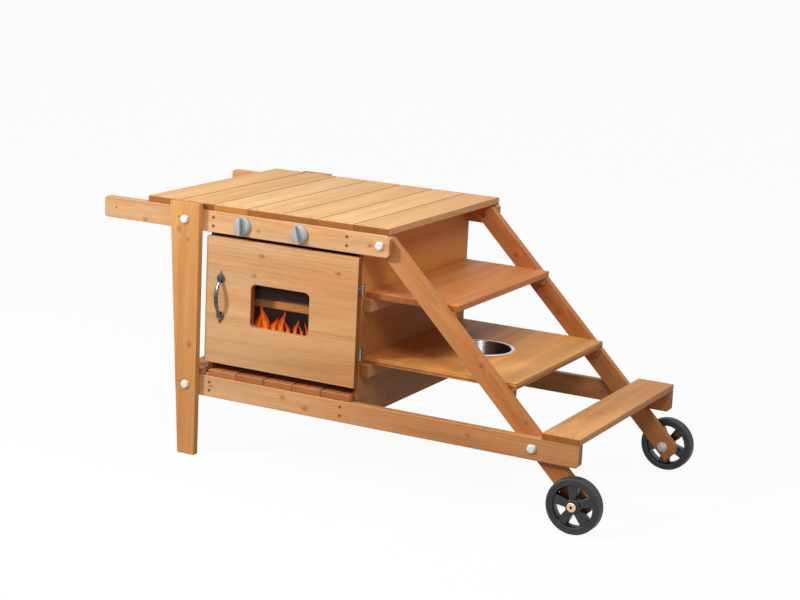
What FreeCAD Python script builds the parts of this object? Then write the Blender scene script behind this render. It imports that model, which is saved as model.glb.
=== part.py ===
import FreeCAD, Part
import os
import re

import Sketcher

# Outdoor toy kitchen: a slatted worktop on two legs with a play oven under it, and a stair of two
# shelves and a step that ends in two wheels. Lengths are in millimetres. +X runs from the grips to
# the wheels, +Y from the front with the oven door to the back, +Z up from the floor. The origin is on
# the floor under the middle of the kitchen.

SLAT_COUNT = 7
FLOOR_SLAT_COUNT = 5
SPOKE_COUNT = 5
# Two places nearer than this are the same place.
SAME = 1e-6

# Driving dimensions, each an independent length unless its name says otherwise.
SIZES = {
    # whole kitchen
    "worktop_height": "600",
    "frame_width": "570",
    "edge_round": "2",
    "cut_overrun": "5",
    # worktop
    "slat_width": "90",
    "slat_gap": "1.5",
    "slat_thickness": "15",
    "slat_setback": "2",
    "slat_screw_spacing": "50",
    # rails
    "rail_height": "50",
    "rail_thickness": "19",
    "handle_reach": "123.5",
    "rail_tail": "4",
    "grip_round": "8",
    "grip_hole_inset": "34",
    "rail_clip": "7",
    "wheel_clearance": "19",
    "bottom_rail_inset": "24",
    "rail_past_axle": "4",
    # legs
    "leg_width": "81",
    "leg_foot_width": "47",
    "leg_thickness": "18",
    "leg_setback": "75",
    "pilot_diameter": "4",
    "pilot_depth": "8",
    "pilot_offset": "17",
    "pilot_rise": "5",
    # oven box
    "oven_gap": "10.5",
    "oven_setback": "70.5",
    "panel_thickness": "10",
    "panel_lift": "6",
    "bearer_thickness": "30",
    "bearer_height": "44",
    "bearer_screw_spacing": "20",
    "bearer_screw_inset": "7",
    "floor_slat_gap": "2",
    "floor_slat_thickness": "15",
    "floor_slat_setback": "2",
    "oven_shelf_rise": "177",
    "oven_shelf_thickness": "18",
    "oven_shelf_setback": "26",
    "oven_batten_width": "20",
    "oven_batten_height": "20",
    # oven door
    "door_thickness": "18",
    "door_gap": "0.6",
    "door_top_gap": "9",
    "door_bottom_gap": "19",
    "window_width": "154",
    "window_height": "102",
    "window_round": "12",
    "pane_thickness": "3",
    "pane_overlap": "14",
    # door hinges
    "hinge_inset": "75",
    "hinge_height": "26",
    "hinge_leaf_width": "10",
    "hinge_leaf_thickness": "1.2",
    "hinge_gap": "0.4",
    "hinge_fit": "0.05",
    "hinge_screw_spacing": "15",
    "knuckle_diameter": "5",
    "hinge_pin_diameter": "2",
    # door catch
    "catch_length": "40",
    "catch_width": "12",
    "catch_depth": "14",
    "catch_gap": "0.5",
    "catch_screw_spacing": "24",
    "catch_plate_thickness": "1.5",
    # door handle
    "handle_inset": "42",
    "handle_rise": "10",
    "handle_span": "88",
    "plate_diameter": "20",
    "plate_thickness": "4",
    "plate_bevel": "1.5",
    "finial_length": "8.5",
    "finial_width": "11",
    "finial_tip_width": "2",
    "strap_width": "10",
    "strap_thickness": "3.5",
    "strap_bow": "20",
    "strap_round": "1.2",
    # oven knobs
    "knob_diameter": "43",
    "knob_depth": "22",
    "knob_dome_depth": "11",
    "knob_dome_round": "6",
    "ridge_width": "11",
    "ridge_tip_width": "5",
    "ridge_setback": "1.5",
    "ridge_round": "2",
    "knob_inset": "97",
    "knob_spacing": "151",
    "knob_gap": "0.5",
    "knob_fit": "0.08",
    "spindle_diameter": "8",
    "spindle_reach": "9",
    "spindle_depth": "15",
    # stair
    "stair_run": "473",
    "stringer_width": "45",
    "stringer_thickness": "19",
    "stringer_offset": "4.5",
    "stringer_bolt_inset": "25",
    "stringer_top_gap": "2",
    "stringer_tip_reach": "30",
    "stringer_clip": "32",
    "lower_shelf_rise": "101",
    "upper_shelf_rise": "150",
    "shelf_thickness": "15",
    "shelf_nose": "27",
    "shelf_side_gap": "1",
    "cleat_length": "60",
    "cleat_height": "18",
    "cleat_thickness": "16",
    "cleat_screw_spacing": "24",
    "batten_width": "21",
    "batten_height": "29",
    "batten_setback": "9",
    "batten_screw_spacing": "180",
    "step_gap": "8",
    "step_thickness": "15",
    "step_screw_inset": "20",
    # bowl
    "bowl_diameter": "150",
    "bowl_rim_width": "7",
    "bowl_depth": "60",
    "bowl_base_diameter": "88",
    "bowl_wall": "1.2",
    "bowl_round": "22",
    "bowl_fit": "1",
    "bowl_offset": "10",
    # wood screws
    "screw_diameter": "4",
    "screw_head_diameter": "8",
    "screw_head_height": "3",
    "screw_point": "4",
    "screw_sink": "2",
    "cross_length": "4.4",
    "cross_width": "1.1",
    "cross_depth": "1.5",
    "worktop_screw_length": "28",
    "bearer_screw_length": "52",
    "panel_screw_length": "26",
    "cleat_screw_length": "30",
    # small screws
    "small_screw_diameter": "2.4",
    "small_screw_head_diameter": "4.6",
    "small_screw_head_height": "1.1",
    "small_screw_point": "2",
    "small_screw_length": "9",
    "small_cross_length": "2.6",
    "small_cross_width": "0.7",
    "small_cross_depth": "0.7",
    "handle_screw_length": "16",
    "handle_screw_head_diameter": "9",
    "handle_screw_head_height": "3",
    "handle_screw_head_round": "2.5",
    "catch_screw_length": "18",
    # frame bolts
    "bolt_diameter": "6",
    "bolt_head_diameter": "13",
    "bolt_head_height": "3",
    "bolt_tail": "3",
    "nut_width": "10",
    "nut_height": "5",
    "cap_diameter": "20",
    "cap_height": "5.5",
    "cap_round": "3",
    "cap_tab_diameter": "6",
    "cap_tab_height": "3",
    # wheels
    "wheel_diameter": "125",
    "wheel_width": "28",
    "wheel_gap": "3",
    "wheel_play": "0.3",
    "wheel_fit": "0.08",
    "tyre_depth": "11",
    "tyre_round": "3",
    "tyre_groove_width": "2.5",
    "tyre_groove_depth": "2",
    "rim_depth": "5",
    "hub_diameter": "36",
    "spoke_width": "17",
    "spoke_flare": "24",
    "spoke_recess": "4",
    "axle_diameter": "10",
    "axle_head_diameter": "22",
    "axle_head_height": "5",
    "axle_head_round": "3",
    "axle_socket_width": "6",
    "axle_socket_depth": "3",
    "axle_tail": "2",
    "axle_nut_width": "16",
    "axle_nut_height": "6",
    "axle_cap_diameter": "24",
    "axle_cap_height": "10",
    "axle_cap_round": "4",
}

# Angle of the right knob's pointer from upright, in degrees.
RIGHT_KNOB_TURN = -17


def slope_x(offset, height):
    """X of the line along the stair that runs beside its bolts by the offset, at a height."""
    return f"(bolt_x + ({offset} - ({height} - top_rail_middle) * stair_cos) / stair_sin)"


def slope_z(offset, across):
    """Height of the same line at an X."""
    return f"(top_rail_middle + ({offset} - ({across} - bolt_x) * stair_sin) / stair_cos)"


# Places and lengths that follow from the driving dimensions.
PLACES = {
    "half_width": "frame_width / 2",
    "rail_inside": "half_width - rail_thickness",
    "worktop_length": f"{SLAT_COUNT} * (slat_width + slat_gap) - slat_gap",
    "top_rail_length": "handle_reach + worktop_length + rail_tail",
    "overall_length": "top_rail_length + stair_run + wheel_diameter / 2",
    "handle_end": "-overall_length / 2",
    "worktop_left": "handle_end + handle_reach",
    "worktop_right": "worktop_left + worktop_length",
    "top_rail_end": "worktop_right + rail_tail",
    "top_rail_top": "worktop_height - slat_thickness",
    "top_rail_bottom": "top_rail_top - rail_height",
    "top_rail_middle": "top_rail_top - rail_height / 2",
    "bottom_rail_bottom": "wheel_diameter + wheel_clearance",
    "bottom_rail_top": "bottom_rail_bottom + rail_height",
    "bottom_rail_middle": "bottom_rail_bottom + rail_height / 2",
    "axle_x": "top_rail_end + stair_run",
    "axle_z": "wheel_diameter / 2",
    "bottom_rail_end": "axle_x + rail_past_axle",
    "leg_left": "worktop_left + leg_setback",
    "leg_right": "leg_left + leg_width",
    "leg_taper": "leg_width - leg_foot_width",
    "leg_top_bolt_x": "leg_right - (leg_foot_width + leg_taper * top_rail_middle / worktop_height) / 2",
    "leg_low_bolt_x": "leg_right - (leg_foot_width + leg_taper * bottom_rail_middle / worktop_height) / 2",
    "bottom_rail_start": "leg_left + bottom_rail_inset",
    "oven_left": "leg_right + oven_gap",
    "oven_right": "worktop_right - oven_setback",
    "oven_middle": "(oven_left + oven_right) / 2",
    "oven_inside_left": "oven_left + panel_thickness",
    "oven_inside_right": "oven_right - panel_thickness",
    "oven_clear_width": "oven_inside_right - oven_inside_left",
    "floor_slat_width":
        f"(oven_clear_width - {FLOOR_SLAT_COUNT + 1} * floor_slat_gap) / {FLOOR_SLAT_COUNT}",
    "ledge_width": "oven_left - floor_slat_gap - bottom_rail_start",
    "floor_top": "bottom_rail_top + floor_slat_thickness",
    "bearer_bottom": "top_rail_top - bearer_height",
    "oven_shelf_top": "floor_top + oven_shelf_rise",
    "oven_shelf_bottom": "oven_shelf_top - oven_shelf_thickness",
    "oven_shelf_front": "oven_shelf_setback - rail_inside",
    "oven_back": "rail_inside - panel_thickness",
    "door_back": "-rail_inside - door_gap",
    "door_front": "door_back - door_thickness",
    "door_bottom": "floor_top + door_bottom_gap",
    "door_top": "top_rail_bottom - door_top_gap",
    "door_middle": "(door_bottom + door_top) / 2",
    "door_width": "oven_right - oven_left",
    "hinge_x": "oven_right + knuckle_diameter / 2",
    "hinge_y": "-rail_inside - door_gap / 2",
    "handle_x": "oven_left + handle_inset",
    "handle_z": "door_middle + handle_rise",
    "strap_radius": "(handle_span * handle_span / 4 + strap_bow * strap_bow) / (2 * strap_bow)",
    "strap_centre_y": "door_front + strap_radius - strap_bow",
    "left_knob_x": "oven_left + knob_inset",
    "right_knob_x": "left_knob_x + knob_spacing",
    "bolt_x": "top_rail_end - stringer_bolt_inset",
    "stair_fall": "top_rail_middle - axle_z",
    "stair_length": "sqrt((axle_x - bolt_x) ^ 2 + stair_fall ^ 2)",
    "stair_cos": "(axle_x - bolt_x) / stair_length",
    "stair_sin": "stair_fall / stair_length",
    "low_bolt_x": "axle_x - (bottom_rail_middle - axle_z) * stair_cos / stair_sin",
    "stringer_over": "stringer_offset + stringer_width / 2",
    "stringer_under": "stringer_offset - stringer_width / 2",
    "stringer_top": "top_rail_top - stringer_top_gap",
    "stringer_inside": "rail_inside - stringer_thickness",
    "lower_shelf_top": "bottom_rail_top + lower_shelf_rise",
    "upper_shelf_top": "lower_shelf_top + upper_shelf_rise",
    "lower_shelf_bottom": "lower_shelf_top - shelf_thickness",
    "upper_shelf_bottom": "upper_shelf_top - shelf_thickness",
    "lower_nose": slope_x("stringer_over", "lower_shelf_top") + " + shelf_nose",
    "upper_nose": slope_x("stringer_over", "upper_shelf_top") + " + shelf_nose",
    "lower_cleat_x": slope_x("stringer_offset", "(lower_shelf_bottom - cleat_height / 2)"),
    "upper_cleat_x": slope_x("stringer_offset", "(upper_shelf_bottom - cleat_height / 2)"),
    "shelf_half_depth": "stringer_inside - shelf_side_gap",
    "step_left": slope_x("stringer_over", "bottom_rail_top") + " + step_gap",
    "tip_x": "axle_x + stringer_tip_reach * stair_cos + stringer_under * stair_sin",
    "tip_z": "axle_z - stringer_tip_reach * stair_sin + stringer_under * stair_cos",
    "clip_x": "axle_x + stringer_clip",
    "stringer_top_x": slope_x("stringer_over", "stringer_top"),
    "stringer_shoulder_x": "stringer_top_x - stringer_width",
    "bowl_body_diameter": "bowl_diameter - 2 * bowl_rim_width",
    "bowl_x": "(oven_right + lower_nose) / 2 - bowl_offset",
    "wheel_inside": "rail_inside + wheel_gap",
    "wheel_outside": "wheel_inside + wheel_width",
    "tyre_inside": "axle_z - tyre_depth",
    "rim_inside": "tyre_inside - rim_depth",
    "rim_middle": "tyre_inside - rim_depth / 2",
    "tyre_groove_start": "tyre_inside + (tyre_depth - tyre_round - tyre_groove_width) / 2",
    "axle_grip": "wheel_play + wheel_width + wheel_gap + stringer_thickness",
}


# Document, sheets and formulas

doc = FreeCAD.newDocument("outdoor_toy_kitchen")
UP = FreeCAD.Vector(0, 0, 1)
BACKWARD = FreeCAD.Vector(0, 1, 0)
RIGHTWARD = FreeCAD.Vector(1, 0, 0)


def qualified(formula, home=""):
    """The formula with each size and place named by its sheet; names of the home sheet stay bare."""
    def with_sheet(match):
        word = match.group()
        sheet_name = "Sizes" if word in SIZES else "Places" if word in PLACES else home
        return word if sheet_name == home else f"{sheet_name}.{word}"
    return re.sub(r"[a-z_]+", with_sheet, formula)


def fill_sheet(name, rows):
    sheet = doc.addObject("Spreadsheet::Sheet", name)
    for number, (alias, content) in enumerate(rows, start=1):
        sheet.set(f"A{number}", alias)
        sheet.set(f"B{number}", content)
        sheet.setAlias(f"B{number}", alias)
    return sheet


sizes = fill_sheet("Sizes", SIZES.items())
fill_sheet("Places", [(name, "=" + qualified(rule, "Places")) for name, rule in PLACES.items()])
doc.recompute()


def value(formula):
    return float(sizes.evalExpression(qualified(formula)))


def bind(thing, formulas):
    for path, formula in formulas.items():
        thing.setExpression(path, qualified(formula))


def put(thing, corner):
    bind(thing, {f"Placement.Base.{axis}": formula for axis, formula in zip("xyz", corner)})


# Building blocks

sub_parts = []


def keep(thing, label):
    """Marks a finished sub-part; its label is its node's name."""
    thing.Label = label
    sub_parts.append(thing)
    return thing


def new_body(name):
    body = doc.addObject("PartDesign::Body", name)
    body.Label = name
    return body


def add_box(body, extent, corner=("0", "0", "0"), kind="Additive"):
    box = body.newObject(f"PartDesign::{kind}Box", "Box")
    bind(box, dict(zip(("Length", "Width", "Height"), extent)))
    put(box, corner)
    return box


def add_cylinder(body, radius, height, base=("0", "0", "0"), kind="Additive"):
    cylinder = body.newObject(f"PartDesign::{kind}Cylinder", "Cylinder")
    bind(cylinder, {"Radius": radius, "Height": height})
    put(cylinder, base)
    return cylinder


def add_cone(body, bottom_radius, top_radius, height, base):
    cone = body.newObject("PartDesign::AdditiveCone", "Cone")
    bind(cone, {"Radius1": bottom_radius, "Radius2": top_radius, "Height": height})
    put(cone, base)
    return cone


def new_sketch(body, role, lift="0"):
    """A sketch on one of the body's own planes, moved along its normal by lift."""
    plane = next(item for item in body.Origin.OriginFeatures if item.Role == role)
    sketch = body.newObject("Sketcher::SketchObject", "Sketch")
    sketch.AttachmentSupport = [(plane, "")]
    sketch.MapMode = "FlatFace"
    bind(sketch, {"AttachmentOffset.Base.z": lift})
    return sketch


def constrain(sketch, rule, geometry, formula):
    number = sketch.addConstraint(Sketcher.Constraint(rule, *geometry, value(formula)))
    sketch.setExpression(f"Constraints[{number}]", qualified(formula))


def fix_point(sketch, geometry, end, place):
    for rule, formula in zip(("DistanceX", "DistanceY"), place):
        constrain(sketch, rule, (-1, 1, geometry, end), formula)


def draw_polygon(sketch, outline):
    corners = [FreeCAD.Vector(value(across), value(along), 0) for across, along in outline]
    following = corners[1:] + corners[:1]
    lines = [sketch.addGeometry(Part.LineSegment(*ends)) for ends in zip(corners, following)]
    for line, after in zip(lines, lines[1:] + lines[:1]):
        sketch.addConstraint(Sketcher.Constraint("Coincident", line, 2, after, 1))
    for line, place in zip(lines, outline):
        fix_point(sketch, line, 1, place)


def add_pad(body, sketch, length):
    pad = body.newObject("PartDesign::Pad", "Pad")
    pad.Profile = sketch
    bind(pad, {"Length": length})
    return pad


def add_turned(body, outline):
    """A solid turned about the body's Z axis from an outline of radius and height."""
    sketch = new_sketch(body, "XZ_Plane")
    draw_polygon(sketch, outline)
    turned = body.newObject("PartDesign::Revolution", "Turned")
    turned.Profile = sketch
    turned.ReferenceAxis = (sketch, ["V_Axis"])
    return turned


def round_edges(body, radius, wanted=None):
    """Fillets the edges that wanted picks, or all edges, of what the body has so far."""
    doc.recompute()
    base = body.Tip
    fillet = body.newObject("PartDesign::Fillet", "Round")
    if wanted is None:
        fillet.Base = (base, [])
        fillet.UseAllEdges = True
    else:
        names = [f"Edge{n}" for n, edge in enumerate(base.Shape.Edges, start=1) if wanted(edge)]
        fillet.Base = (base, names)
    bind(fillet, {"Radius": radius})
    return fillet


def level(height):
    """Picks the edges that lie at one height of their body."""
    return lambda edge: all(abs(end.Z - value(height)) < SAME for end in edge.Vertexes)


def board(name, extent, corner):
    """A plain plank with eased edges."""
    body = new_body(name)
    add_box(body, extent)
    round_edges(body, "edge_round")
    put(body, corner)
    return body


def shaped_board(name, outline, thickness, back):
    """A plank cut to an outline in X and Z; it reaches forwards from its back face."""
    body = new_body(name)
    sketch = new_sketch(body, "XZ_Plane")
    draw_polygon(sketch, outline)
    add_pad(body, sketch, thickness)
    round_edges(body, "edge_round")
    put(body, ("0", back, "0"))
    return body


def compound(name, members):
    group = doc.addObject("Part::Compound", name)
    group.Links = members
    return group


def fused(name, members):
    joined = doc.addObject("Part::MultiFuse", name)
    joined.Shapes = members
    return joined


def cut_by(name, base, tool):
    cut = doc.addObject("Part::Cut", name)
    cut.Base = base
    cut.Tool = tool
    return cut


def drilled(name, base, tools):
    """The base with the room for each tool taken out of it, kept as a sub-part."""
    for tool in tools:
        base = cut_by(f"{name}_cut", base, tool)
    return keep(base, name)


def copies(name, master, spots):
    """Links to the master, each with the master's Z axis laid along its spot's direction."""
    links = []
    for place, direction in spots:
        link = doc.addObject("App::Link", name)
        link.LinkedObject = master
        link.LinkTransform = True
        link.Placement = FreeCAD.Placement(FreeCAD.Vector(), FreeCAD.Rotation(UP, direction))
        put(link, place)
        links.append(link)
    return compound(name, links)


# Screws, bolts, nuts and caps, each made once along +Z from the surface that it is driven into

def screw_master(name, length, sort=""):
    """A countersunk screw with its head flush at the origin."""
    body = new_body(name)
    add_turned(body, [
        ("0", "0"),
        (f"{sort}screw_head_diameter / 2", "0"),
        (f"{sort}screw_diameter / 2", f"{sort}screw_head_height"),
        (f"{sort}screw_diameter / 2", f"{length} - {sort}screw_point"),
        ("0", length),
    ])
    return body


def cross_master(name, sort=""):
    """The cross recess of a screw head, with an overrun above the head."""
    arms = []
    for long_side, short_side in (("length", "width"), ("width", "length")):
        arm = doc.addObject("Part::Box", name)
        bind(arm, {
            "Length": f"{sort}cross_{long_side}",
            "Width": f"{sort}cross_{short_side}",
            "Height": f"{sort}cross_depth + cut_overrun",
        })
        put(arm, (f"-{sort}cross_{long_side} / 2", f"-{sort}cross_{short_side} / 2", "-cut_overrun"))
        arms.append(arm)
    return fused(name, arms)


def screws(name, master, cross, spots):
    """A set of screws: the plain solids that make room in the wood, and the same with their recess."""
    plain = copies(name + "_plain", master, spots)
    recess = copies(name + "_recess", cross, spots)
    return plain, cut_by(name, plain, recess)


def hexagon_master(name, width, height, bottom):
    nut = doc.addObject("Part::Prism", name)
    nut.Polygon = 6
    bind(nut, {"Circumradius": f"{width} / sqrt(3)", "Height": height})
    put(nut, ("0", "0", bottom))
    return nut


cross = cross_master("cross")
small_cross = cross_master("small_cross", "small_")
worktop_screw = screw_master("worktop_screw", "worktop_screw_length")
bearer_screw = screw_master("bearer_screw", "bearer_screw_length")
panel_screw = screw_master("panel_screw", "panel_screw_length")
cleat_screw = screw_master("cleat_screw", "cleat_screw_length")
small_screw = screw_master("small_screw", "small_screw_length", "small_")

SIDES = (("front", "-", BACKWARD), ("back", "", -BACKWARD))


# Where the screws go, and the room that they take in the wood

def down_through(top, spots):
    return [((across, along, top), -UP) for across, along in spots]


def slat_middle(number):
    return f"worktop_left + slat_width / 2 + {number} * (slat_width + slat_gap)"


def floor_slat_left(number):
    return f"oven_inside_left + floor_slat_gap + {number} * (floor_slat_width + floor_slat_gap)"


RAIL_LINES = [f"{sign}(half_width - rail_thickness / 2)" for _, sign, _ in SIDES]
BEARER_LEFTS = ("oven_inside_left", "oven_inside_right - bearer_thickness")
BEARER_TOPS = {"top": "top_rail_top", "bottom": "bottom_rail_top"}
SHELVES = ("upper", "lower")

worktop_room, worktop_screws = screws("worktop_screws", worktop_screw, cross, down_through(
    "worktop_height",
    [(f"{slat_middle(n)} {turn} slat_screw_spacing / 2", line)
     for n in range(SLAT_COUNT) for turn in "+-" for line in RAIL_LINES],
))
floor_room, floor_screws = screws("floor_screws", worktop_screw, cross, down_through(
    "floor_top",
    [(across, line)
     for across in ["bottom_rail_start + ledge_width / 2"] + [
         f"{floor_slat_left(n)} + floor_slat_width / 2" for n in range(FLOOR_SLAT_COUNT)]
     for line in RAIL_LINES],
))
step_room, step_screws = screws("step_screws", worktop_screw, cross, down_through(
    "bottom_rail_top + step_thickness",
    [(across, line)
     for across in ("step_left + step_screw_inset", "bottom_rail_end - step_screw_inset")
     for line in RAIL_LINES],
))


def bearer_spots(depth):
    """The places of the screws through the rails into the bearers, at a depth under the rails' faces."""
    return [
        ((f"{left} + bearer_screw_inset", f"{sign}(half_width - {depth})",
          f"{top} - rail_height / 2 {turn} bearer_screw_spacing / 2"), inward)
        for left in BEARER_LEFTS
        for top in BEARER_TOPS.values()
        for turn in "+-"
        for _, sign, inward in SIDES
    ]


bearer_room, bearer_screws = screws("bearer_screws", bearer_screw, cross, bearer_spots("screw_sink"))
sink = doc.addObject("Part::Cylinder", "sink")
bind(sink, {"Radius": "screw_head_diameter / 2", "Height": "screw_sink + cut_overrun"})
put(sink, ("0", "0", "-cut_overrun"))
bearer_sinks = copies("bearer_sinks", sink, bearer_spots("0"))
panel_room, panel_screws = screws("panel_screws", panel_screw, cross, [
    ((face, f"{sign}rail_inside / 2", f"{top} - bearer_height / 2"), inward)
    for face, inward in (("oven_left", RIGHTWARD), ("oven_right", -RIGHTWARD))
    for top in BEARER_TOPS.values()
    for _, sign, _ in SIDES
])
back_panel_room, back_panel_screws = screws("back_panel_screws", panel_screw, cross, [
    ((f"oven_middle {turn} oven_clear_width / 4", "rail_inside",
      "oven_shelf_top - oven_shelf_thickness / 2"), -BACKWARD)
    for turn in "+-"
])
oven_batten_room, oven_batten_screws = screws("oven_batten_screws", panel_screw, cross, [
    ((face, f"{sign}rail_inside / 2", "oven_shelf_bottom - oven_batten_height / 2"), outward)
    for face, outward in (("oven_inside_left + oven_batten_width", -RIGHTWARD),
                          ("oven_inside_right - oven_batten_width", RIGHTWARD))
    for _, sign, _ in SIDES
])
batten_room, batten_screws = screws("batten_screws", panel_screw, cross, [
    (("oven_right + batten_width", f"{n} * batten_screw_spacing",
      f"{shelf}_shelf_bottom - batten_height / 2"), -RIGHTWARD)
    for shelf in SHELVES
    for n in (-1, 0, 1)
])
shelf_room, shelf_screws = screws("shelf_screws", worktop_screw, cross, [
    spot
    for shelf in SHELVES
    for spot in down_through(f"{shelf}_shelf_top", [
        ("oven_right + batten_width / 2", "-batten_screw_spacing / 2"),
        ("oven_right + batten_width / 2", "batten_screw_spacing / 2"),
        (f"{shelf}_cleat_x", "-(stringer_inside - cleat_thickness / 2)"),
        (f"{shelf}_cleat_x", "stringer_inside - cleat_thickness / 2"),
    ])
])
cleat_room, cleat_screws = screws("cleat_screws", cleat_screw, cross, [
    ((f"{shelf}_cleat_x {turn} cleat_screw_spacing / 2", f"{sign}(stringer_inside - cleat_thickness)",
      f"{shelf}_shelf_bottom - cleat_height / 2"), -inward)
    for shelf in SHELVES
    for turn in "+-"
    for _, sign, inward in SIDES
])


# Bolts through the legs and the stringers, with nuts inside and white snap caps over the heads

def bolt_master(name, grip):
    """A bolt whose head stands on the surface at the origin."""
    body = new_body(name)
    add_turned(body, [
        ("0", "-bolt_head_height"),
        ("bolt_head_diameter / 2", "-bolt_head_height"),
        ("bolt_head_diameter / 2", "0"),
        ("bolt_diameter / 2", "0"),
        ("bolt_diameter / 2", f"{grip} + nut_height + bolt_tail"),
        ("0", f"{grip} + nut_height + bolt_tail"),
    ])
    return body


LEG_GRIP = "(leg_thickness + rail_thickness)"
STRINGER_GRIP = "(rail_thickness + stringer_thickness)"
LEG_BOLTS = (("leg_top_bolt_x", "top_rail_middle"), ("leg_low_bolt_x", "bottom_rail_middle"))
STRINGER_BOLTS = (("bolt_x", "top_rail_middle"), ("low_bolt_x", "bottom_rail_middle"))
leg_spots = [
    ((across, f"{sign}(half_width + leg_thickness)", height), inward)
    for across, height in LEG_BOLTS
    for _, sign, inward in SIDES
]
stringer_spots = [
    ((across, f"{sign}half_width", height), inward)
    for across, height in STRINGER_BOLTS
    for _, sign, inward in SIDES
]
pilot_spots = [
    ((f"{across} - pilot_offset", along, f"{height} + pilot_rise"), inward)
    for (across, along, height), inward in leg_spots
]
leg_bolts = copies("leg_bolts", bolt_master("leg_bolt", LEG_GRIP), leg_spots)
stringer_bolts = copies("stringer_bolts", bolt_master("stringer_bolt", STRINGER_GRIP), stringer_spots)
keep(compound("bolts", [leg_bolts, stringer_bolts]), "frame_bolts")
leg_nut = hexagon_master("leg_nut", "nut_width", "nut_height", LEG_GRIP)
leg_nuts = copies("leg_nuts", leg_nut, leg_spots)
stringer_nut = hexagon_master("stringer_nut", "nut_width", "nut_height", STRINGER_GRIP)
stringer_nuts = copies("stringer_nuts", stringer_nut, stringer_spots)
drilled("frame_nuts", compound("nuts", [leg_nuts, stringer_nuts]), [leg_bolts, stringer_bolts])

pilot = doc.addObject("Part::Cylinder", "pilot")
bind(pilot, {"Radius": "pilot_diameter / 2", "Height": "pilot_depth + cut_overrun"})
put(pilot, ("0", "0", "-cut_overrun"))
pilots = copies("pilots", pilot, pilot_spots)
grip_holes = copies("grip_holes", pilot, [
    (("handle_end + grip_hole_inset", f"{sign}half_width", "top_rail_middle"), inward)
    for _, sign, inward in SIDES
])

cap = new_body("cap")
add_cylinder(cap, "cap_diameter / 2", "cap_height", ("0", "0", "-cap_height"))
round_edges(cap, "cap_round", level("-cap_height"))
add_cylinder(cap, "cap_tab_diameter / 2", "cap_tab_height",
             ("cap_diameter / 2 / sqrt(2)", "-cap_diameter / 2 / sqrt(2)", "-cap_tab_height"))


# Axle bolts with a domed head outside, and a nut under a white cap on the stringer's inner face

axle_spots = [
    (("axle_x", f"{sign}(wheel_outside + wheel_play)", "axle_z"), inward) for _, sign, inward in SIDES
]
axle = new_body("axle")
add_cylinder(axle, "axle_head_diameter / 2", "axle_head_height", ("0", "0", "-axle_head_height"))
round_edges(axle, "axle_head_round", level("-axle_head_height"))
add_cylinder(axle, "axle_diameter / 2", "axle_grip + axle_nut_height + axle_tail")
axle_solid = copies("axle_solid", axle, axle_spots)
socket = hexagon_master("socket", "axle_socket_width", "axle_socket_depth + cut_overrun",
                        "-axle_head_height - cut_overrun")
keep(cut_by("axles", axle_solid, copies("sockets", socket, axle_spots)), "axle_bolts")
axle_nut = hexagon_master("axle_nut", "axle_nut_width", "axle_nut_height", "axle_grip")
axle_nuts = drilled("axle_nuts", copies("axle_nut_pair", axle_nut, axle_spots), [axle_solid])

washer = new_body("washer")
add_turned(washer, [
    ("axle_diameter / 2", "wheel_width + 2 * wheel_play"),
    ("axle_cap_diameter / 2", "wheel_width + 2 * wheel_play"),
    ("axle_cap_diameter / 2", "wheel_width + wheel_play + wheel_gap"),
    ("axle_diameter / 2", "wheel_width + wheel_play + wheel_gap"),
])
keep(copies("washers", washer, axle_spots), "axle_washers")

axle_cap = new_body("axle_cap")
add_cylinder(axle_cap, "axle_cap_diameter / 2", "axle_cap_height", ("0", "0", "axle_grip"))
round_edges(axle_cap, "axle_cap_round", level("axle_grip + axle_cap_height"))
caps = compound("caps", [copies("head_caps", cap, leg_spots + stringer_spots),
                         copies("axle_caps", axle_cap, axle_spots)])
drilled("bolt_caps", caps, [leg_bolts, stringer_bolts, axle_solid, axle_nuts])


# Worktop: slats screwed down across the two top rails

for n in range(SLAT_COUNT):
    slat = board(
        "slat",
        ("slat_width", "frame_width - 2 * slat_setback", "slat_thickness"),
        (f"{slat_middle(n)} - slat_width / 2", "slat_setback - half_width", "top_rail_top"),
    )
    drilled(f"worktop_slat_{n + 1}", slat, [worktop_room])
keep(worktop_screws, "worktop_screws")


# Top rails, rounded where they run on as grips and clipped at the stair

def top_rail(back):
    body = new_body("top_rail")
    sketch = new_sketch(body, "XZ_Plane")
    draw_polygon(sketch, [
        ("handle_end", "top_rail_bottom"),
        ("top_rail_end - rail_clip", "top_rail_bottom"),
        ("top_rail_end", "top_rail_bottom + rail_clip"),
        ("top_rail_end", "top_rail_top - rail_clip"),
        ("top_rail_end - rail_clip", "top_rail_top"),
        ("handle_end", "top_rail_top"),
    ])
    add_pad(body, sketch, "rail_thickness")
    grip_end = value("handle_end")
    round_edges(body, "grip_round", lambda edge: edge.BoundBox.YLength > edge.BoundBox.ZLength
                and all(abs(end.X - grip_end) < SAME for end in edge.Vertexes))
    round_edges(body, "edge_round")
    put(body, ("0", back, "0"))
    return body


KNOBS = ("left", "right")
spindle = doc.addObject("Part::Cylinder", "spindle")
bind(spindle, {"Radius": "spindle_diameter / 2", "Height": "spindle_reach + spindle_depth"})
put(spindle, ("0", "0", "-spindle_reach"))
spindles = copies("spindles", spindle, [
    ((f"{side}_knob_x", "-half_width", "top_rail_middle"), BACKWARD) for side in KNOBS
])
keep(spindles, "knob_spindles")
rail_rooms = [bearer_room, bearer_sinks, leg_bolts, stringer_bolts]
drilled("front_top_rail", top_rail("-rail_inside"), [worktop_room, grip_holes, spindles] + rail_rooms)
drilled("back_top_rail", top_rail("half_width"), [worktop_room, grip_holes] + rail_rooms)


# Bottom rails, from behind the legs to the step

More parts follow.
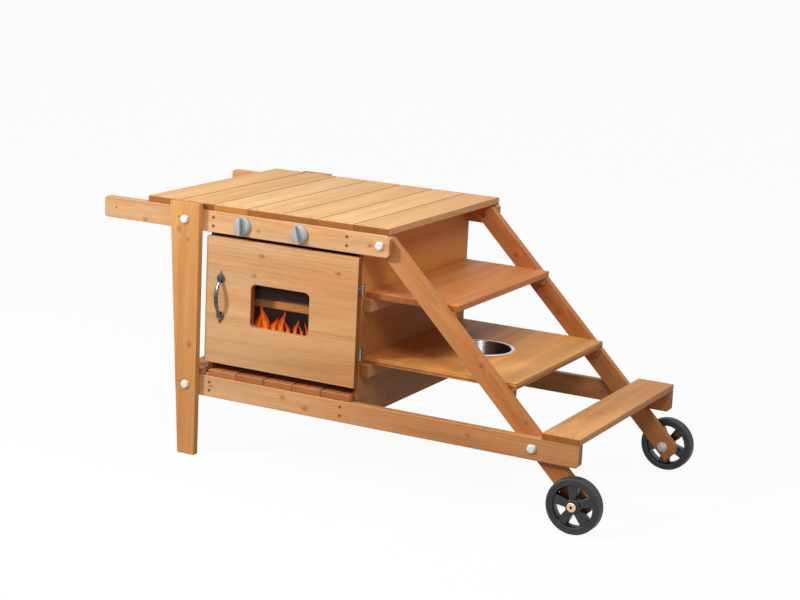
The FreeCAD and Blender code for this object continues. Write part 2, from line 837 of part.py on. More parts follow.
for side, back in (("front", "-rail_inside"), ("back", "half_width")):
    rail = shaped_board("bottom_rail", [
        ("bottom_rail_start", "bottom_rail_bottom"),
        ("bottom_rail_end - rail_clip", "bottom_rail_bottom"),
        ("bottom_rail_end", "bottom_rail_bottom + rail_clip"),
        ("bottom_rail_end", "bottom_rail_top"),
        ("bottom_rail_start", "bottom_rail_top"),
    ], "rail_thickness", back)
    drilled(f"{side}_bottom_rail", rail, [floor_room, step_room] + rail_rooms)


# Legs outside the rails, straight towards the oven and tapered towards the grips

for side, back in (("front", "-half_width"), ("back", "half_width + leg_thickness")):
    leg = shaped_board("leg", [
        ("leg_left + leg_taper", "0"),
        ("leg_right", "0"),
        ("leg_right", "worktop_height"),
        ("leg_left", "worktop_height"),
    ], "leg_thickness", back)
    drilled(f"{side}_leg", leg, [leg_bolts, pilots])


# Oven box: cross bearers between the rails, panels against them, a slatted floor and one shelf

for name, top in BEARER_TOPS.items():
    bearers = [
        board("bearer", ("bearer_thickness", "2 * rail_inside", "bearer_height"),
              (left, "-rail_inside", f"{top} - bearer_height"))
        for left in BEARER_LEFTS
    ]
    drilled(f"{name}_bearers", compound("bearers", bearers), [bearer_room, panel_room])

hinge_heights = ("door_bottom + hinge_inset", "door_top - hinge_inset")
leaf_middle = "(knuckle_diameter / 2 + hinge_gap + hinge_leaf_width / 2)"


def hinge_screw_spots(sign):
    return [
        (("oven_right + hinge_leaf_thickness", f"hinge_y {sign} {leaf_middle}",
          f"{height} {turn} hinge_screw_spacing / 2"), -RIGHTWARD)
        for height in hinge_heights
        for turn in "+-"
    ]


catch_screw = screw_master("catch_screw", "catch_screw_length", "small_")
catch_front = "(door_back + catch_plate_thickness + catch_gap)"
catch_room, catch_screws = screws("catch_screws", catch_screw, small_cross, [
    (("oven_inside_left + catch_width", f"{catch_front} + catch_depth / 2",
      f"door_middle {turn} catch_screw_spacing / 2"), -RIGHTWARD)
    for turn in "+-"
])
frame_leaf_room, frame_leaf_screws = screws(
    "frame_leaf_screws", small_screw, small_cross, hinge_screw_spots("+"))

PANEL = ("panel_thickness", "2 * rail_inside", "top_rail_top - bottom_rail_bottom - panel_lift")
drilled(
    "oven_left_panel",
    board("left_panel", PANEL, ("oven_left", "-rail_inside", "bottom_rail_bottom + panel_lift")),
    [panel_room, oven_batten_room, catch_room],
)
drilled(
    "oven_right_panel",
    board("right_panel", PANEL, ("oven_inside_right", "-rail_inside", "bottom_rail_bottom + panel_lift")),
    [panel_room, oven_batten_room, batten_room, frame_leaf_room],
)
drilled(
    "oven_back_panel",
    board("back_panel", ("oven_clear_width", "panel_thickness", "bearer_bottom - floor_top"),
          ("oven_inside_left", "oven_back", "floor_top")),
    [back_panel_room],
)
for n in range(FLOOR_SLAT_COUNT):
    slat = board(
        "floor_slat",
        ("floor_slat_width", "frame_width - 2 * floor_slat_setback", "floor_slat_thickness"),
        (floor_slat_left(n), "floor_slat_setback - half_width", "bottom_rail_top"),
    )
    drilled(f"oven_floor_slat_{n + 1}", slat, [floor_room])
drilled(
    "ledge_slat",
    board("ledge", ("ledge_width", "frame_width - 2 * floor_slat_setback", "floor_slat_thickness"),
          ("bottom_rail_start", "floor_slat_setback - half_width", "bottom_rail_top")),
    [floor_room],
)
drilled(
    "oven_shelf",
    board("inner_shelf", ("oven_clear_width", "oven_back - oven_shelf_front", "oven_shelf_thickness"),
          ("oven_inside_left", "oven_shelf_front", "oven_shelf_bottom")),
    [back_panel_room],
)
oven_battens = [
    board("oven_batten", ("oven_batten_width", "oven_back - oven_shelf_front", "oven_batten_height"),
          (left, "oven_shelf_front", "oven_shelf_bottom - oven_batten_height"))
    for left in ("oven_inside_left", "oven_inside_right - oven_batten_width")
]
drilled("oven_shelf_battens", compound("oven_battens", oven_battens), [oven_batten_room])


# Oven door: a thick board with a round-cornered window and a clear pane screwed on behind

pane_room, pane_screws = screws("pane_screws", small_screw, small_cross, [
    ((f"oven_middle {turn} (window_width + pane_overlap) / 2", "door_back + pane_thickness",
      f"door_middle {lift} (window_height + pane_overlap) / 2"), -BACKWARD)
    for turn in "+-"
    for lift in "+-"
])
plate_room, plate_screws = screws("plate_screws", small_screw, small_cross, [
    (("oven_inside_left + (catch_gap + catch_width) / 2", "door_back + catch_plate_thickness",
      f"door_middle {turn} catch_screw_spacing / 2"), -BACKWARD)
    for turn in "+-"
])
door_leaf_room, door_leaf_screws = screws(
    "door_leaf_screws", small_screw, small_cross, hinge_screw_spots("-"))


def handle_spots(height):
    """The middles of the handle's two plates, at a height over the plates' faces."""
    face = f"door_front - plate_thickness - {height}"
    return [(("handle_x", face, f"handle_z {turn} handle_span / 2"), BACKWARD) for turn in "+-"]


handle_screw = new_body("handle_screw")
add_cylinder(handle_screw, "handle_screw_head_diameter / 2", "handle_screw_head_height",
             ("0", "0", "-handle_screw_head_height"))
round_edges(handle_screw, "handle_screw_head_round", level("-handle_screw_head_height"))
add_cylinder(handle_screw, "small_screw_diameter / 2", "handle_screw_length")
handle_room = copies("handle_room", handle_screw, handle_spots("0"))
handle_recess = copies("handle_recess", small_cross, handle_spots("handle_screw_head_height"))
handle_screws = cut_by("handle_screws", handle_room, handle_recess)

door = new_body("door")
add_box(door, ("door_width", "door_thickness", "door_top - door_bottom"))
add_box(door, ("window_width", "door_thickness + 2 * cut_overrun", "window_height"),
        ("(door_width - window_width) / 2", "-cut_overrun", "(door_top - door_bottom - window_height) / 2"),
        "Subtractive")
window_left = value("(door_width - window_width) / 2")
window_right = value("(door_width + window_width) / 2")
round_edges(door, "window_round", lambda edge: edge.BoundBox.YLength > edge.BoundBox.XLength
            and edge.BoundBox.YLength > edge.BoundBox.ZLength
            and min(abs(edge.Vertexes[0].X - window_left), abs(edge.Vertexes[0].X - window_right)) < SAME)
round_edges(door, "edge_round")
put(door, ("oven_left", "door_front", "door_bottom"))
drilled("oven_door", door, [pane_room, plate_room, door_leaf_room, handle_room])

pane = new_body("pane")
add_box(pane, ("window_width + 2 * pane_overlap", "pane_thickness", "window_height + 2 * pane_overlap"))
put(pane, ("oven_middle - window_width / 2 - pane_overlap", "door_back",
           "door_middle - window_height / 2 - pane_overlap"))
drilled("window_pane", pane, [pane_room])


# Magnet catch on the left panel and the steel plate on the door that it holds

catch = new_body("catch")
add_box(catch, ("catch_width", "catch_depth", "catch_length"))
put(catch, ("oven_inside_left", catch_front, "door_middle - catch_length / 2"))
drilled("magnet_catch", catch, [catch_room])
plate = new_body("plate")
add_box(plate, ("catch_width - catch_gap", "catch_plate_thickness", "catch_length"))
put(plate, ("oven_inside_left + catch_gap", "door_back", "door_middle - catch_length / 2"))
drilled("catch_plate", plate, [plate_room])


# Butt hinges: the frame's leaf carries the two end knuckles and the pin, the door's the middle one

def hinge_box(extent, corner):
    box = doc.addObject("Part::Box", "hinge_box")
    bind(box, dict(zip(("Length", "Width", "Height"), extent)))
    put(box, corner)
    return box


def hinge_rod(radius, bottom, top):
    rod = doc.addObject("Part::Cylinder", "hinge_rod")
    bind(rod, {"Radius": radius, "Height": f"{top} - ({bottom})"})
    put(rod, ("0", "0", bottom))
    return rod


def hinge_leaf(name, plate_start, tongue_start, spans, bore):
    """A leaf about the pin's middle: its plate, and a tongue and a knuckle for each span of height."""
    side = "-knuckle_diameter / 2"
    pieces = [hinge_box(("hinge_leaf_thickness", "hinge_leaf_width", "hinge_height"),
                        (side, plate_start, "-hinge_height / 2"))]
    for bottom, top in spans:
        pieces.append(hinge_box(
            ("hinge_leaf_thickness", "knuckle_diameter / 2 + hinge_gap", f"{top} - ({bottom})"),
            (side, tongue_start, bottom)))
        pieces.append(hinge_rod("knuckle_diameter / 2", bottom, top))
    return cut_by(name, fused(name, pieces), hinge_rod(bore, "-hinge_height", "hinge_height"))


hinge_spots = [(("hinge_x", "hinge_y", height), UP) for height in hinge_heights]
frame_leaf = hinge_leaf(
    "frame_leaf", "knuckle_diameter / 2 + hinge_gap", "0",
    [("-hinge_height / 2", "-(hinge_height / 6 + hinge_gap / 2)"),
     ("hinge_height / 6 + hinge_gap / 2", "hinge_height / 2")],
    "hinge_pin_diameter / 2")
door_leaf = hinge_leaf(
    "door_leaf", "-(knuckle_diameter / 2 + hinge_gap + hinge_leaf_width)",
    "-(knuckle_diameter / 2 + hinge_gap)",
    [("-(hinge_height / 6 - hinge_gap / 2)", "hinge_height / 6 - hinge_gap / 2")],
    "hinge_pin_diameter / 2 + hinge_fit")
hinge_pin = hinge_rod("hinge_pin_diameter / 2", "-hinge_height / 2", "hinge_height / 2")
drilled("hinge_frame_leaves", copies("frame_leaf_pair", frame_leaf, hinge_spots), [frame_leaf_room])
drilled("hinge_door_leaves", copies("door_leaf_pair", door_leaf, hinge_spots), [door_leaf_room])
keep(copies("hinge_pin_pair", hinge_pin, hinge_spots), "hinge_pins")


# Door handle: a bowed strap between two round plates with pointed ends, made about the strap's centre
# of curvature with +Z away from the door

handle = new_body("handle")
strap = new_sketch(handle, "XZ_Plane")
draw_polygon(strap, [
    ("-strap_width / 2", "strap_radius - strap_thickness / 2"),
    ("strap_width / 2", "strap_radius - strap_thickness / 2"),
    ("strap_width / 2", "strap_radius + strap_thickness / 2"),
    ("-strap_width / 2", "strap_radius + strap_thickness / 2"),
])
bow = handle.newObject("PartDesign::Revolution", "Bow")
bow.Profile = strap
bow.ReferenceAxis = (strap, ["H_Axis"])
bow.Midplane = True
bind(bow, {"Angle": "2 * acos((strap_radius - strap_bow) / (strap_radius - strap_thickness / 2))"})
round_edges(handle, "strap_round", lambda edge: edge.Curve.TypeId == "Part::GeomCircle")
door_level = "strap_radius - strap_bow"
plate_rim = "(plate_thickness - plate_bevel)"
for sign in ("", "-"):
    middle = f"{sign}handle_span / 2"
    add_cylinder(handle, "plate_diameter / 2", plate_rim, ("0", middle, door_level))
    add_cone(handle, "plate_diameter / 2", "plate_diameter / 2 - plate_bevel", "plate_bevel",
             ("0", middle, f"{door_level} + {plate_rim}"))
    finial = new_sketch(handle, "XY_Plane", door_level)
    finial_end = f"{sign}(handle_span / 2 + plate_diameter / 2 + finial_length)"
    draw_polygon(finial, [
        ("-finial_width / 2", middle),
        ("finial_width / 2", middle),
        ("finial_tip_width / 2", finial_end),
        ("-finial_tip_width / 2", finial_end),
    ])
    add_pad(handle, finial, plate_rim)
handle.Placement.Rotation = FreeCAD.Rotation(UP, -BACKWARD)
put(handle, ("handle_x", "strap_centre_y", "handle_z"))
drilled("door_handle", handle, [handle_room])
door_screw_sets = [pane_screws, plate_screws, door_leaf_screws, handle_screws]
keep(compound("door_screw_sets", door_screw_sets), "door_screws")


# Oven knobs: a rounded disc with a pointer ridge, turning on a spindle in the front top rail

for side, turn in zip(KNOBS, (0, RIGHT_KNOB_TURN)):
    knob = new_body("knob")
    add_cylinder(knob, "knob_diameter / 2", "knob_dome_depth")
    round_edges(knob, "knob_dome_round", level("knob_dome_depth"))
    ridge = new_sketch(knob, "XY_Plane")
    reach = "(knob_diameter / 2 - ridge_setback)"
    draw_polygon(ridge, [
        ("-ridge_width / 2", f"-{reach}"),
        ("ridge_width / 2", f"-{reach}"),
        ("ridge_tip_width / 2", reach),
        ("-ridge_tip_width / 2", reach),
    ])
    add_pad(knob, ridge, "knob_depth")
    round_edges(knob, "ridge_round", level("knob_depth"))
    add_cylinder(knob, "spindle_diameter / 2 + knob_fit", "spindle_reach + cut_overrun",
                 ("0", "0", "-cut_overrun"), "Subtractive")
    outward = FreeCAD.Rotation(UP, -BACKWARD)
    knob.Placement.Rotation = FreeCAD.Rotation(BACKWARD, turn).multiply(outward)
    put(knob, (f"{side}_knob_x", "-half_width - knob_gap", "top_rail_middle"))
    keep(knob, f"knob_{side}")


# Stair: two stringers from the top rails down to the axles

STRINGER = [
    ("stringer_top_x", "stringer_top"),
    ("stringer_shoulder_x", "stringer_top"),
    ("stringer_shoulder_x", slope_z("stringer_under", "stringer_shoulder_x")),
    ("tip_x", "tip_z"),
    ("clip_x", "tip_z + (clip_x - tip_x) * stair_cos / stair_sin"),
    ("clip_x", slope_z("stringer_over", "clip_x")),
]
for side, back in (("front", "-stringer_inside"), ("back", "rail_inside")):
    drilled(f"{side}_stringer", shaped_board("stringer", STRINGER, "stringer_thickness", back),
            [stringer_bolts, axle_solid, cleat_room])


# Shelves between the stringers, on cleats and on battens along the oven

for shelf in SHELVES:
    cleats = [
        board("cleat", ("cleat_length", "cleat_thickness", "cleat_height"),
              (f"{shelf}_cleat_x - cleat_length / 2", along, f"{shelf}_shelf_bottom - cleat_height"))
        for along in ("-stringer_inside", "stringer_inside - cleat_thickness")
    ]
    drilled(f"{shelf}_shelf_cleats", compound("cleats", cleats), [shelf_room, cleat_room])
    batten = board("batten", ("batten_width", "2 * (rail_inside - batten_setback)", "batten_height"),
                   ("oven_right", "batten_setback - rail_inside", f"{shelf}_shelf_bottom - batten_height"))
    drilled(f"{shelf}_shelf_batten", batten, [shelf_room, batten_room])

drilled(
    "upper_shelf",
    board("shelf", ("upper_nose - oven_right", "2 * shelf_half_depth", "shelf_thickness"),
          ("oven_right", "-shelf_half_depth", "upper_shelf_bottom")),
    [shelf_room],
)
sink_shelf = new_body("sink_shelf")
add_box(sink_shelf, ("lower_nose - oven_right", "2 * shelf_half_depth", "shelf_thickness"))
add_cylinder(sink_shelf, "bowl_body_diameter / 2 + bowl_fit", "shelf_thickness + 2 * cut_overrun",
             ("bowl_x - oven_right", "shelf_half_depth", "-cut_overrun"), "Subtractive")
round_edges(sink_shelf, "edge_round")
put(sink_shelf, ("oven_right", "-shelf_half_depth", "lower_shelf_bottom"))
drilled("lower_shelf", sink_shelf, [shelf_room])


# Bowl, hanging by its rim in the lower shelf

bowl = new_body("bowl")
add_turned(bowl, [
    ("0", "-bowl_depth"),
    ("bowl_base_diameter / 2", "-bowl_depth"),
    ("bowl_body_diameter / 2", "0"),
    ("bowl_diameter / 2", "0"),
    ("bowl_diameter / 2", "bowl_wall"),
    ("bowl_body_diameter / 2 - bowl_wall", "bowl_wall"),
    ("bowl_base_diameter / 2 - bowl_wall", "bowl_wall - bowl_depth"),
    ("0", "bowl_wall - bowl_depth"),
])
round_edges(bowl, "bowl_round", level("-bowl_depth"))
round_edges(bowl, "bowl_round - bowl_wall", level("bowl_wall - bowl_depth"))
put(bowl, ("bowl_x", "0", "lower_shelf_top"))
keep(bowl, "sink_bowl")


# Step plank across the ends of the bottom rails

drilled(
    "step_plank",
    board("step", ("bottom_rail_end - step_left", "frame_width", "step_thickness"),
          ("step_left", "-half_width", "bottom_rail_top")),
    [step_room],
)
keep(compound("frame_screw_sets", [
    floor_screws, step_screws, bearer_screws, panel_screws, back_panel_screws, oven_batten_screws,
    batten_screws, shelf_screws, cleat_screws, catch_screws, frame_leaf_screws,
]), "frame_screws")


# Wheels: hub, flared spokes and rim in one moulding, with a grooved tyre round it

for side, sign, inward in SIDES:
    outward = FreeCAD.Rotation(UP, -inward)
    hub_place = ("axle_x", f"{sign}wheel_inside", "axle_z")
    wheel = new_body("wheel")
    add_cylinder(wheel, "hub_diameter / 2", "wheel_width")
    spoke = new_sketch(wheel, "XY_Plane", "spoke_recess")
    spoke_end = "sqrt(rim_middle ^ 2 - (spoke_flare / 2) ^ 2)"
    draw_polygon(spoke, [
        ("-spoke_width / 2", "0"),
        ("spoke_width / 2", "0"),
        ("spoke_flare / 2", spoke_end),
        ("-spoke_flare / 2", spoke_end),
    ])
    first_spoke = add_pad(wheel, spoke, "wheel_width - 2 * spoke_recess")
    spokes = wheel.newObject("PartDesign::PolarPattern", "Spokes")
    spokes.Originals = [first_spoke]
    spokes.Axis = (spoke, ["N_Axis"])
    spokes.Occurrences = SPOKE_COUNT
    wheel.Tip = spokes
    add_turned(wheel, [
        ("rim_inside", "0"),
        ("tyre_inside", "0"),
        ("tyre_inside", "wheel_width"),
        ("rim_inside", "wheel_width"),
    ])
    add_cylinder(wheel, "axle_diameter / 2 + wheel_fit", "wheel_width + 2 * cut_overrun",
                 ("0", "0", "-cut_overrun"), "Subtractive")
    wheel.Placement.Rotation = outward
    put(wheel, hub_place)
    keep(wheel, f"{side}_wheel")

    tyre = new_body("tyre")
    tread_side = "(wheel_width - tyre_groove_width) / 2"
    add_turned(tyre, [
        ("tyre_inside", "0"),
        ("tyre_groove_start", "0"),
        ("tyre_groove_start", "tyre_groove_depth"),
        ("tyre_groove_start + tyre_groove_width", "tyre_groove_depth"),
        ("tyre_groove_start + tyre_groove_width", "0"),
        ("axle_z", "0"),
        ("axle_z", tread_side),
        ("axle_z - tyre_groove_depth", tread_side),
        ("axle_z - tyre_groove_depth", f"wheel_width - {tread_side}"),
        ("axle_z", f"wheel_width - {tread_side}"),
        ("axle_z", "wheel_width"),
        ("tyre_groove_start + tyre_groove_width", "wheel_width"),
        ("tyre_groove_start + tyre_groove_width", "wheel_width - tyre_groove_depth"),
        ("tyre_groove_start", "wheel_width - tyre_groove_depth"),
        ("tyre_groove_start", "wheel_width"),
        ("tyre_inside", "wheel_width"),
    ])
    tread, width = value("axle_z"), value("wheel_width")
    round_edges(tyre, "tyre_round", lambda edge: edge.Curve.TypeId == "Part::GeomCircle"
                and abs(edge.Curve.Radius - tread) < SAME
                and min(abs(edge.Vertexes[0].Z), abs(edge.Vertexes[0].Z - width)) < SAME)
    tyre.Placement.Rotation = outward
    put(tyre, hub_place)
    keep(tyre, f"{side}_tyre")


# Checks, then one file for each sub-part

doc.recompute()
failed = [thing.Label for thing in doc.Objects if {"Invalid", "Error"} & set(thing.State)]
if failed:
    raise RuntimeError(f"these objects did not build: {failed}")
for thing in sub_parts:
    if thing.Shape.isNull() or not thing.Shape.isValid() or not thing.Shape.Solids:
        raise RuntimeError(f"{thing.Label} has no valid solid")
os.makedirs("parts", exist_ok=True)
for thing in sub_parts:
    thing.Shape.exportStep(f"parts/{thing.Label}.step")
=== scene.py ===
import math

import bmesh
import bpy
from mathutils import Matrix, Vector


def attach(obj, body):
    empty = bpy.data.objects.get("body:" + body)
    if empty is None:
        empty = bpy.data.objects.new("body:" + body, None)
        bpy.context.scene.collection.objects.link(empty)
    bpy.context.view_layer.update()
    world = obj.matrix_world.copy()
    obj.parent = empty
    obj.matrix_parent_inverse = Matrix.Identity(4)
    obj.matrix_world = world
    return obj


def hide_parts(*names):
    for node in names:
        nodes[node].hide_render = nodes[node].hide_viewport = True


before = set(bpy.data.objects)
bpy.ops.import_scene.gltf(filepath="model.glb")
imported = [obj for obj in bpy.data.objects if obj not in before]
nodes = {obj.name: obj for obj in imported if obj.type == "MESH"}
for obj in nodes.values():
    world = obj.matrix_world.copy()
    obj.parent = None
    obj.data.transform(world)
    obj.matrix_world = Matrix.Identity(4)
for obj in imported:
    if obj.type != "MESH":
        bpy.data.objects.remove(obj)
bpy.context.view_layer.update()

# Legs and rails. Planed larch boards with eased edges, oiled a warm honey brown: four long rails, and
# two tapered legs that are bolted on outside them.

MM = 0.001
# Along a board, every pattern in the wood is this many times longer than across it.
GRAIN_STRETCH = 14
# How a board's grain lies: the turn, in degrees, that lays the log's Z axis along it.
ALONG_X = Vector((0, 90, 0))
ALONG_Y = Vector((-90, 0, 0))
ALONG_Z = Vector((0, 0, 0))
# A knot runs right through its board, so its reach in that direction is longer than any board.
THROUGH = 2000
# At a scale of one, the wave texture runs through this many radians in a metre.
WAVE_TURN = 20
# How wide the wood's patterns are across the grain, in millimetres: the waves in which its rings wander,
# the places rich in late wood, the streaks, the fibres, drawn coarser than real ones so that they show,
# and the patches of a warm flush.
WANDER_WIDTH = 90
RICH_WIDTH = 45
STREAK_WIDTH = 24
FIBRE_WIDTH = 2.4
FLUSH_WIDTH = 70


def linear(code):
    """An sRGB hex colour as linear red, green, blue and alpha."""
    channels = [int(code[start:start + 2], 16) / 255 for start in (1, 3, 5)]
    return [c / 12.92 if c <= 0.04045 else ((c + 0.055) / 1.055) ** 2.4 for c in channels] + [1]


def add_node(tree, kind, settings, links):
    """A shader node with its properties, the values of its inputs, and the links into it."""
    node = tree.nodes.new("ShaderNode" + kind)
    for key, setting in settings.items():
        if hasattr(node, str(key)):
            setattr(node, key, setting)
        else:
            node.inputs[key].default_value = setting
    for key, socket in links.items():
        tree.links.new(socket, node.inputs[key])
    return node


def timber(name, early, late, pith, turn, ring=4.0, contrast=0.6, knots=(), staves=None, plies=None,
           ends="#DCC3A4", seam=None, flushed=0.7, drift=None):
    """Planed and oiled wood cut from a log: the pith is a point on the log's middle, in millimetres, and
    turn lays the log. Pale early wood darkens through each ring to late wood, more in some places than
    others, fine fibres run along the board, and the sawn ends drink the oil and turn darker. Eased edges
    are painted paler as a painted highlight, or, next to a seam, painted dark as painted shade for the
    groove. Staves are strips glued side by side, plies are veneers that show on the edges, and a drift
    is a tint that comes in between two places on an axis."""
    material = bpy.data.materials.new(name)
    material.use_nodes = True
    tree = material.node_tree
    surface = tree.nodes["Principled BSDF"]
    angles = [math.radians(angle) for angle in turn]
    place = add_node(tree, "TexCoord", {}, {})
    log = add_node(tree, "Mapping", {
        "vector_type": "TEXTURE",
        "Location": Vector(pith) * MM,
        "Rotation": angles,
        "Scale": (1, 1, GRAIN_STRETCH),
    }, {"Vector": place.outputs["Object"]}).outputs["Vector"]

    tone = None
    if staves:
        axis, width = staves
        across = add_node(tree, "SeparateXYZ", {}, {0: place.outputs["Object"]}).outputs[axis]
        count = add_node(tree, "Math", {"operation": "DIVIDE", 1: width * MM}, {0: across}).outputs[0]
        number = add_node(tree, "Math", {"operation": "FLOOR"}, {0: count}).outputs[0]
        chance = add_node(tree, "TexWhiteNoise", {"noise_dimensions": "1D"}, {"W": number})
        log = add_node(tree, "VectorMath", {"operation": "MULTIPLY_ADD", 1: (0.05, 0.05, 0.4)},
                       {0: chance.outputs["Color"], 2: log}).outputs[0]
        tone = add_node(tree, "MapRange", {"To Min": 0.9, "To Max": 1.06},
                        {"Value": chance.outputs["Value"]}).outputs[0]

    # Rings wander by some millimetres and swing round the knots.
    wander = add_node(tree, "TexNoise", {"Scale": 1 / (WANDER_WIDTH * MM), "Detail": 3}, {"Vector": log})
    grown = add_node(tree, "VectorMath", {"operation": "MULTIPLY_ADD", 1: (0.035, 0.035, 0)},
                     {0: wander.outputs["Color"], 2: log}).outputs[0]
    rings = add_node(tree, "TexWave", {
        "wave_type": "RINGS",
        "rings_direction": "Z",
        "wave_profile": "SAW",
        "Scale": math.tau / (WAVE_TURN * ring * MM),
        "Distortion": 2,
        "Detail": 3,
        "Detail Scale": 2,
    }, {"Vector": grown})
    late_share = add_node(tree, "MapRange", {
        "interpolation_type": "SMOOTHSTEP", "From Min": 0.1, "From Max": 1, "To Max": contrast,
    }, {"Value": rings.outputs["Fac"]}).outputs[0]
    rich = add_node(tree, "TexNoise", {"Scale": 1 / (RICH_WIDTH * MM), "Detail": 1}, {"Vector": log})
    rich = add_node(tree, "MapRange", {"From Min": 0.35, "From Max": 0.65, "To Min": 0.25},
                    {"Value": rich.outputs[0]}).outputs[0]
    late_share = add_node(tree, "Math", {"operation": "MULTIPLY"}, {0: late_share, 1: rich}).outputs[0]
    colour = add_node(tree, "Mix", {"data_type": "RGBA", 6: linear(early), 7: linear(late)},
                      {0: late_share}).outputs[2]

    # Broad streaks and fine fibres make the tone lighter and darker along the board.
    streaks = add_node(tree, "TexNoise", {"Scale": 1 / (STREAK_WIDTH * MM), "Detail": 3},
                       {"Vector": log}).outputs[0]
    fibres = add_node(tree, "TexNoise", {"Scale": 1 / (FIBRE_WIDTH * MM), "Detail": 2},
                      {"Vector": log}).outputs[0]
    streaked = (streaks, 1 - 0.27 * contrast, 1 + 0.17 * contrast)
    for pattern, weak, strong in (streaked, (fibres, 0.94, 1.05)):
        part = add_node(tree, "MapRange", {
            "From Min": 0.3, "From Max": 0.7, "To Min": weak, "To Max": strong,
        }, {"Value": pattern}).outputs[0]
        if tone:
            part = add_node(tree, "Math", {"operation": "MULTIPLY"}, {0: tone, 1: part}).outputs[0]
        tone = part
    colour = add_node(tree, "Mix", {"data_type": "RGBA", "blend_type": "MULTIPLY", 0: 1.0},
                      {6: colour, 7: tone}).outputs[2]

    # A warm flush comes and goes in patches.
    flush = add_node(tree, "TexNoise", {"Scale": 1 / (FLUSH_WIDTH * MM), "Detail": 2}, {"Vector": grown})
    flush = add_node(tree, "MapRange", {"From Min": 0.4, "From Max": 0.7, "To Max": flushed},
                     {"Value": flush.outputs[0]}).outputs[0]
    colour = add_node(tree, "Mix", {"data_type": "RGBA", "blend_type": "MULTIPLY", 7: linear("#F4D3B4")},
                      {0: flush, 6: colour}).outputs[2]
    if drift:
        axis, start, end, tint = drift
        along = add_node(tree, "SeparateXYZ", {}, {0: place.outputs["Object"]}).outputs[axis]
        share = add_node(tree, "MapRange", {
            "interpolation_type": "SMOOTHSTEP", "From Min": start * MM, "From Max": end * MM,
        }, {"Value": along}).outputs[0]
        colour = add_node(tree, "Mix", {"data_type": "RGBA", "blend_type": "MULTIPLY", 7: linear(tint)},
                          {0: share, 6: colour}).outputs[2]

    nearest = None
    for centre, reach in knots:
        knot = add_node(tree, "Mapping", {
            "vector_type": "TEXTURE",
            "Location": Vector(centre) * MM,
            "Scale": Vector(reach) * MM,
        }, {"Vector": place.outputs["Object"]}).outputs["Vector"]
        distance = add_node(tree, "VectorMath", {"operation": "LENGTH"}, {0: knot}).outputs["Value"]
        if nearest:
            distance = add_node(tree, "Math", {"operation": "MINIMUM"},
                                {0: nearest, 1: distance}).outputs[0]
        nearest = distance
    if nearest:
        swing = add_node(tree, "MapRange", {
            "interpolation_type": "SMOOTHSTEP", "From Min": 5, "From Max": 0.8, "To Max": 5,
        }, {"Value": nearest}).outputs[0]
        tree.links.new(swing, rings.inputs["Phase Offset"])
        for outer, inner, share, code in ((2.4, 0.9, 0.22, "#A8683A"), (1.15, 0.6, 0.45, "#7E4A2A")):
            mask = add_node(tree, "MapRange", {
                "interpolation_type": "SMOOTHSTEP", "From Min": outer, "From Max": inner, "To Max": share,
            }, {"Value": nearest}).outputs[0]
            colour = add_node(tree, "Mix", {"data_type": "RGBA", 7: linear(code)},
                              {0: mask, 6: colour}).outputs[2]

    # The way a face points tells the sawn ends and the eased edges from the broad faces.
    facing = add_node(tree, "Mapping", {"vector_type": "TEXTURE", "Rotation": angles},
                      {"Vector": place.outputs["Normal"]}).outputs["Vector"]
    facing = add_node(tree, "VectorMath", {"operation": "ABSOLUTE"}, {0: facing}).outputs[0]
    sides = add_node(tree, "SeparateXYZ", {}, {0: facing})
    broad = add_node(tree, "Math", {"operation": "MAXIMUM"},
                     {0: sides.outputs["X"], 1: sides.outputs["Y"]}).outputs[0]
    square = add_node(tree, "Math", {"operation": "MAXIMUM"}, {0: broad, 1: sides.outputs["Z"]}).outputs[0]
    # Eased edges get a painted highlight, mixed towards the pale early wood; next to a seam they get
    # painted shade instead, the dark of the groove between boards, on the long edges only.
    edge = add_node(tree, "MapRange", {"From Min": 0.98, "From Max": 0.8, "To Max": 0.8 if seam else 0.2},
                    {"Value": square}).outputs[0]
    if seam:
        lengthwise = add_node(tree, "MapRange", {"From Min": 0.4, "From Max": 0.15},
                              {"Value": sides.outputs["Z"]}).outputs[0]
        edge = add_node(tree, "Math", {"operation": "MULTIPLY"}, {0: edge, 1: lengthwise}).outputs[0]
    end = add_node(tree, "MapRange", {"From Min": 0.5, "From Max": 0.85},
                   {"Value": sides.outputs["Z"]}).outputs[0]
    if plies:
        axis, veneer = plies
        ply = add_node(tree, "TexWave", {
            "bands_direction": axis, "wave_profile": "TRI",
            "Scale": math.tau / (WAVE_TURN * 2 * veneer * MM),
        }, {"Vector": place.outputs["Object"]}).outputs["Fac"]
        ply = add_node(tree, "MapRange", {"From Min": 0.4, "From Max": 0.6}, {"Value": ply}).outputs[0]
        across = add_node(tree, "VectorMath", {"operation": "ABSOLUTE"}, {0: place.outputs["Normal"]})
        across = add_node(tree, "SeparateXYZ", {}, {0: across.outputs[0]}).outputs[axis]
        cut = add_node(tree, "MapRange", {"From Min": 0.6, "From Max": 0.2}, {"Value": across}).outputs[0]
        cut = add_node(tree, "Math", {"operation": "MULTIPLY"}, {0: ply, 1: cut}).outputs[0]
        colour = add_node(tree, "Mix", {
            "data_type": "RGBA", "blend_type": "MULTIPLY", 7: linear("#C8A785"),
        }, {0: cut, 6: colour}).outputs[2]
    else:
        colour = add_node(tree, "Mix", {"data_type": "RGBA", "blend_type": "MULTIPLY", 7: linear(ends)},
                          {0: end, 6: colour}).outputs[2]
    colour = add_node(tree, "Mix", {"data_type": "RGBA", 7: linear(seam or early)},
                      {0: edge, 6: colour}).outputs[2]

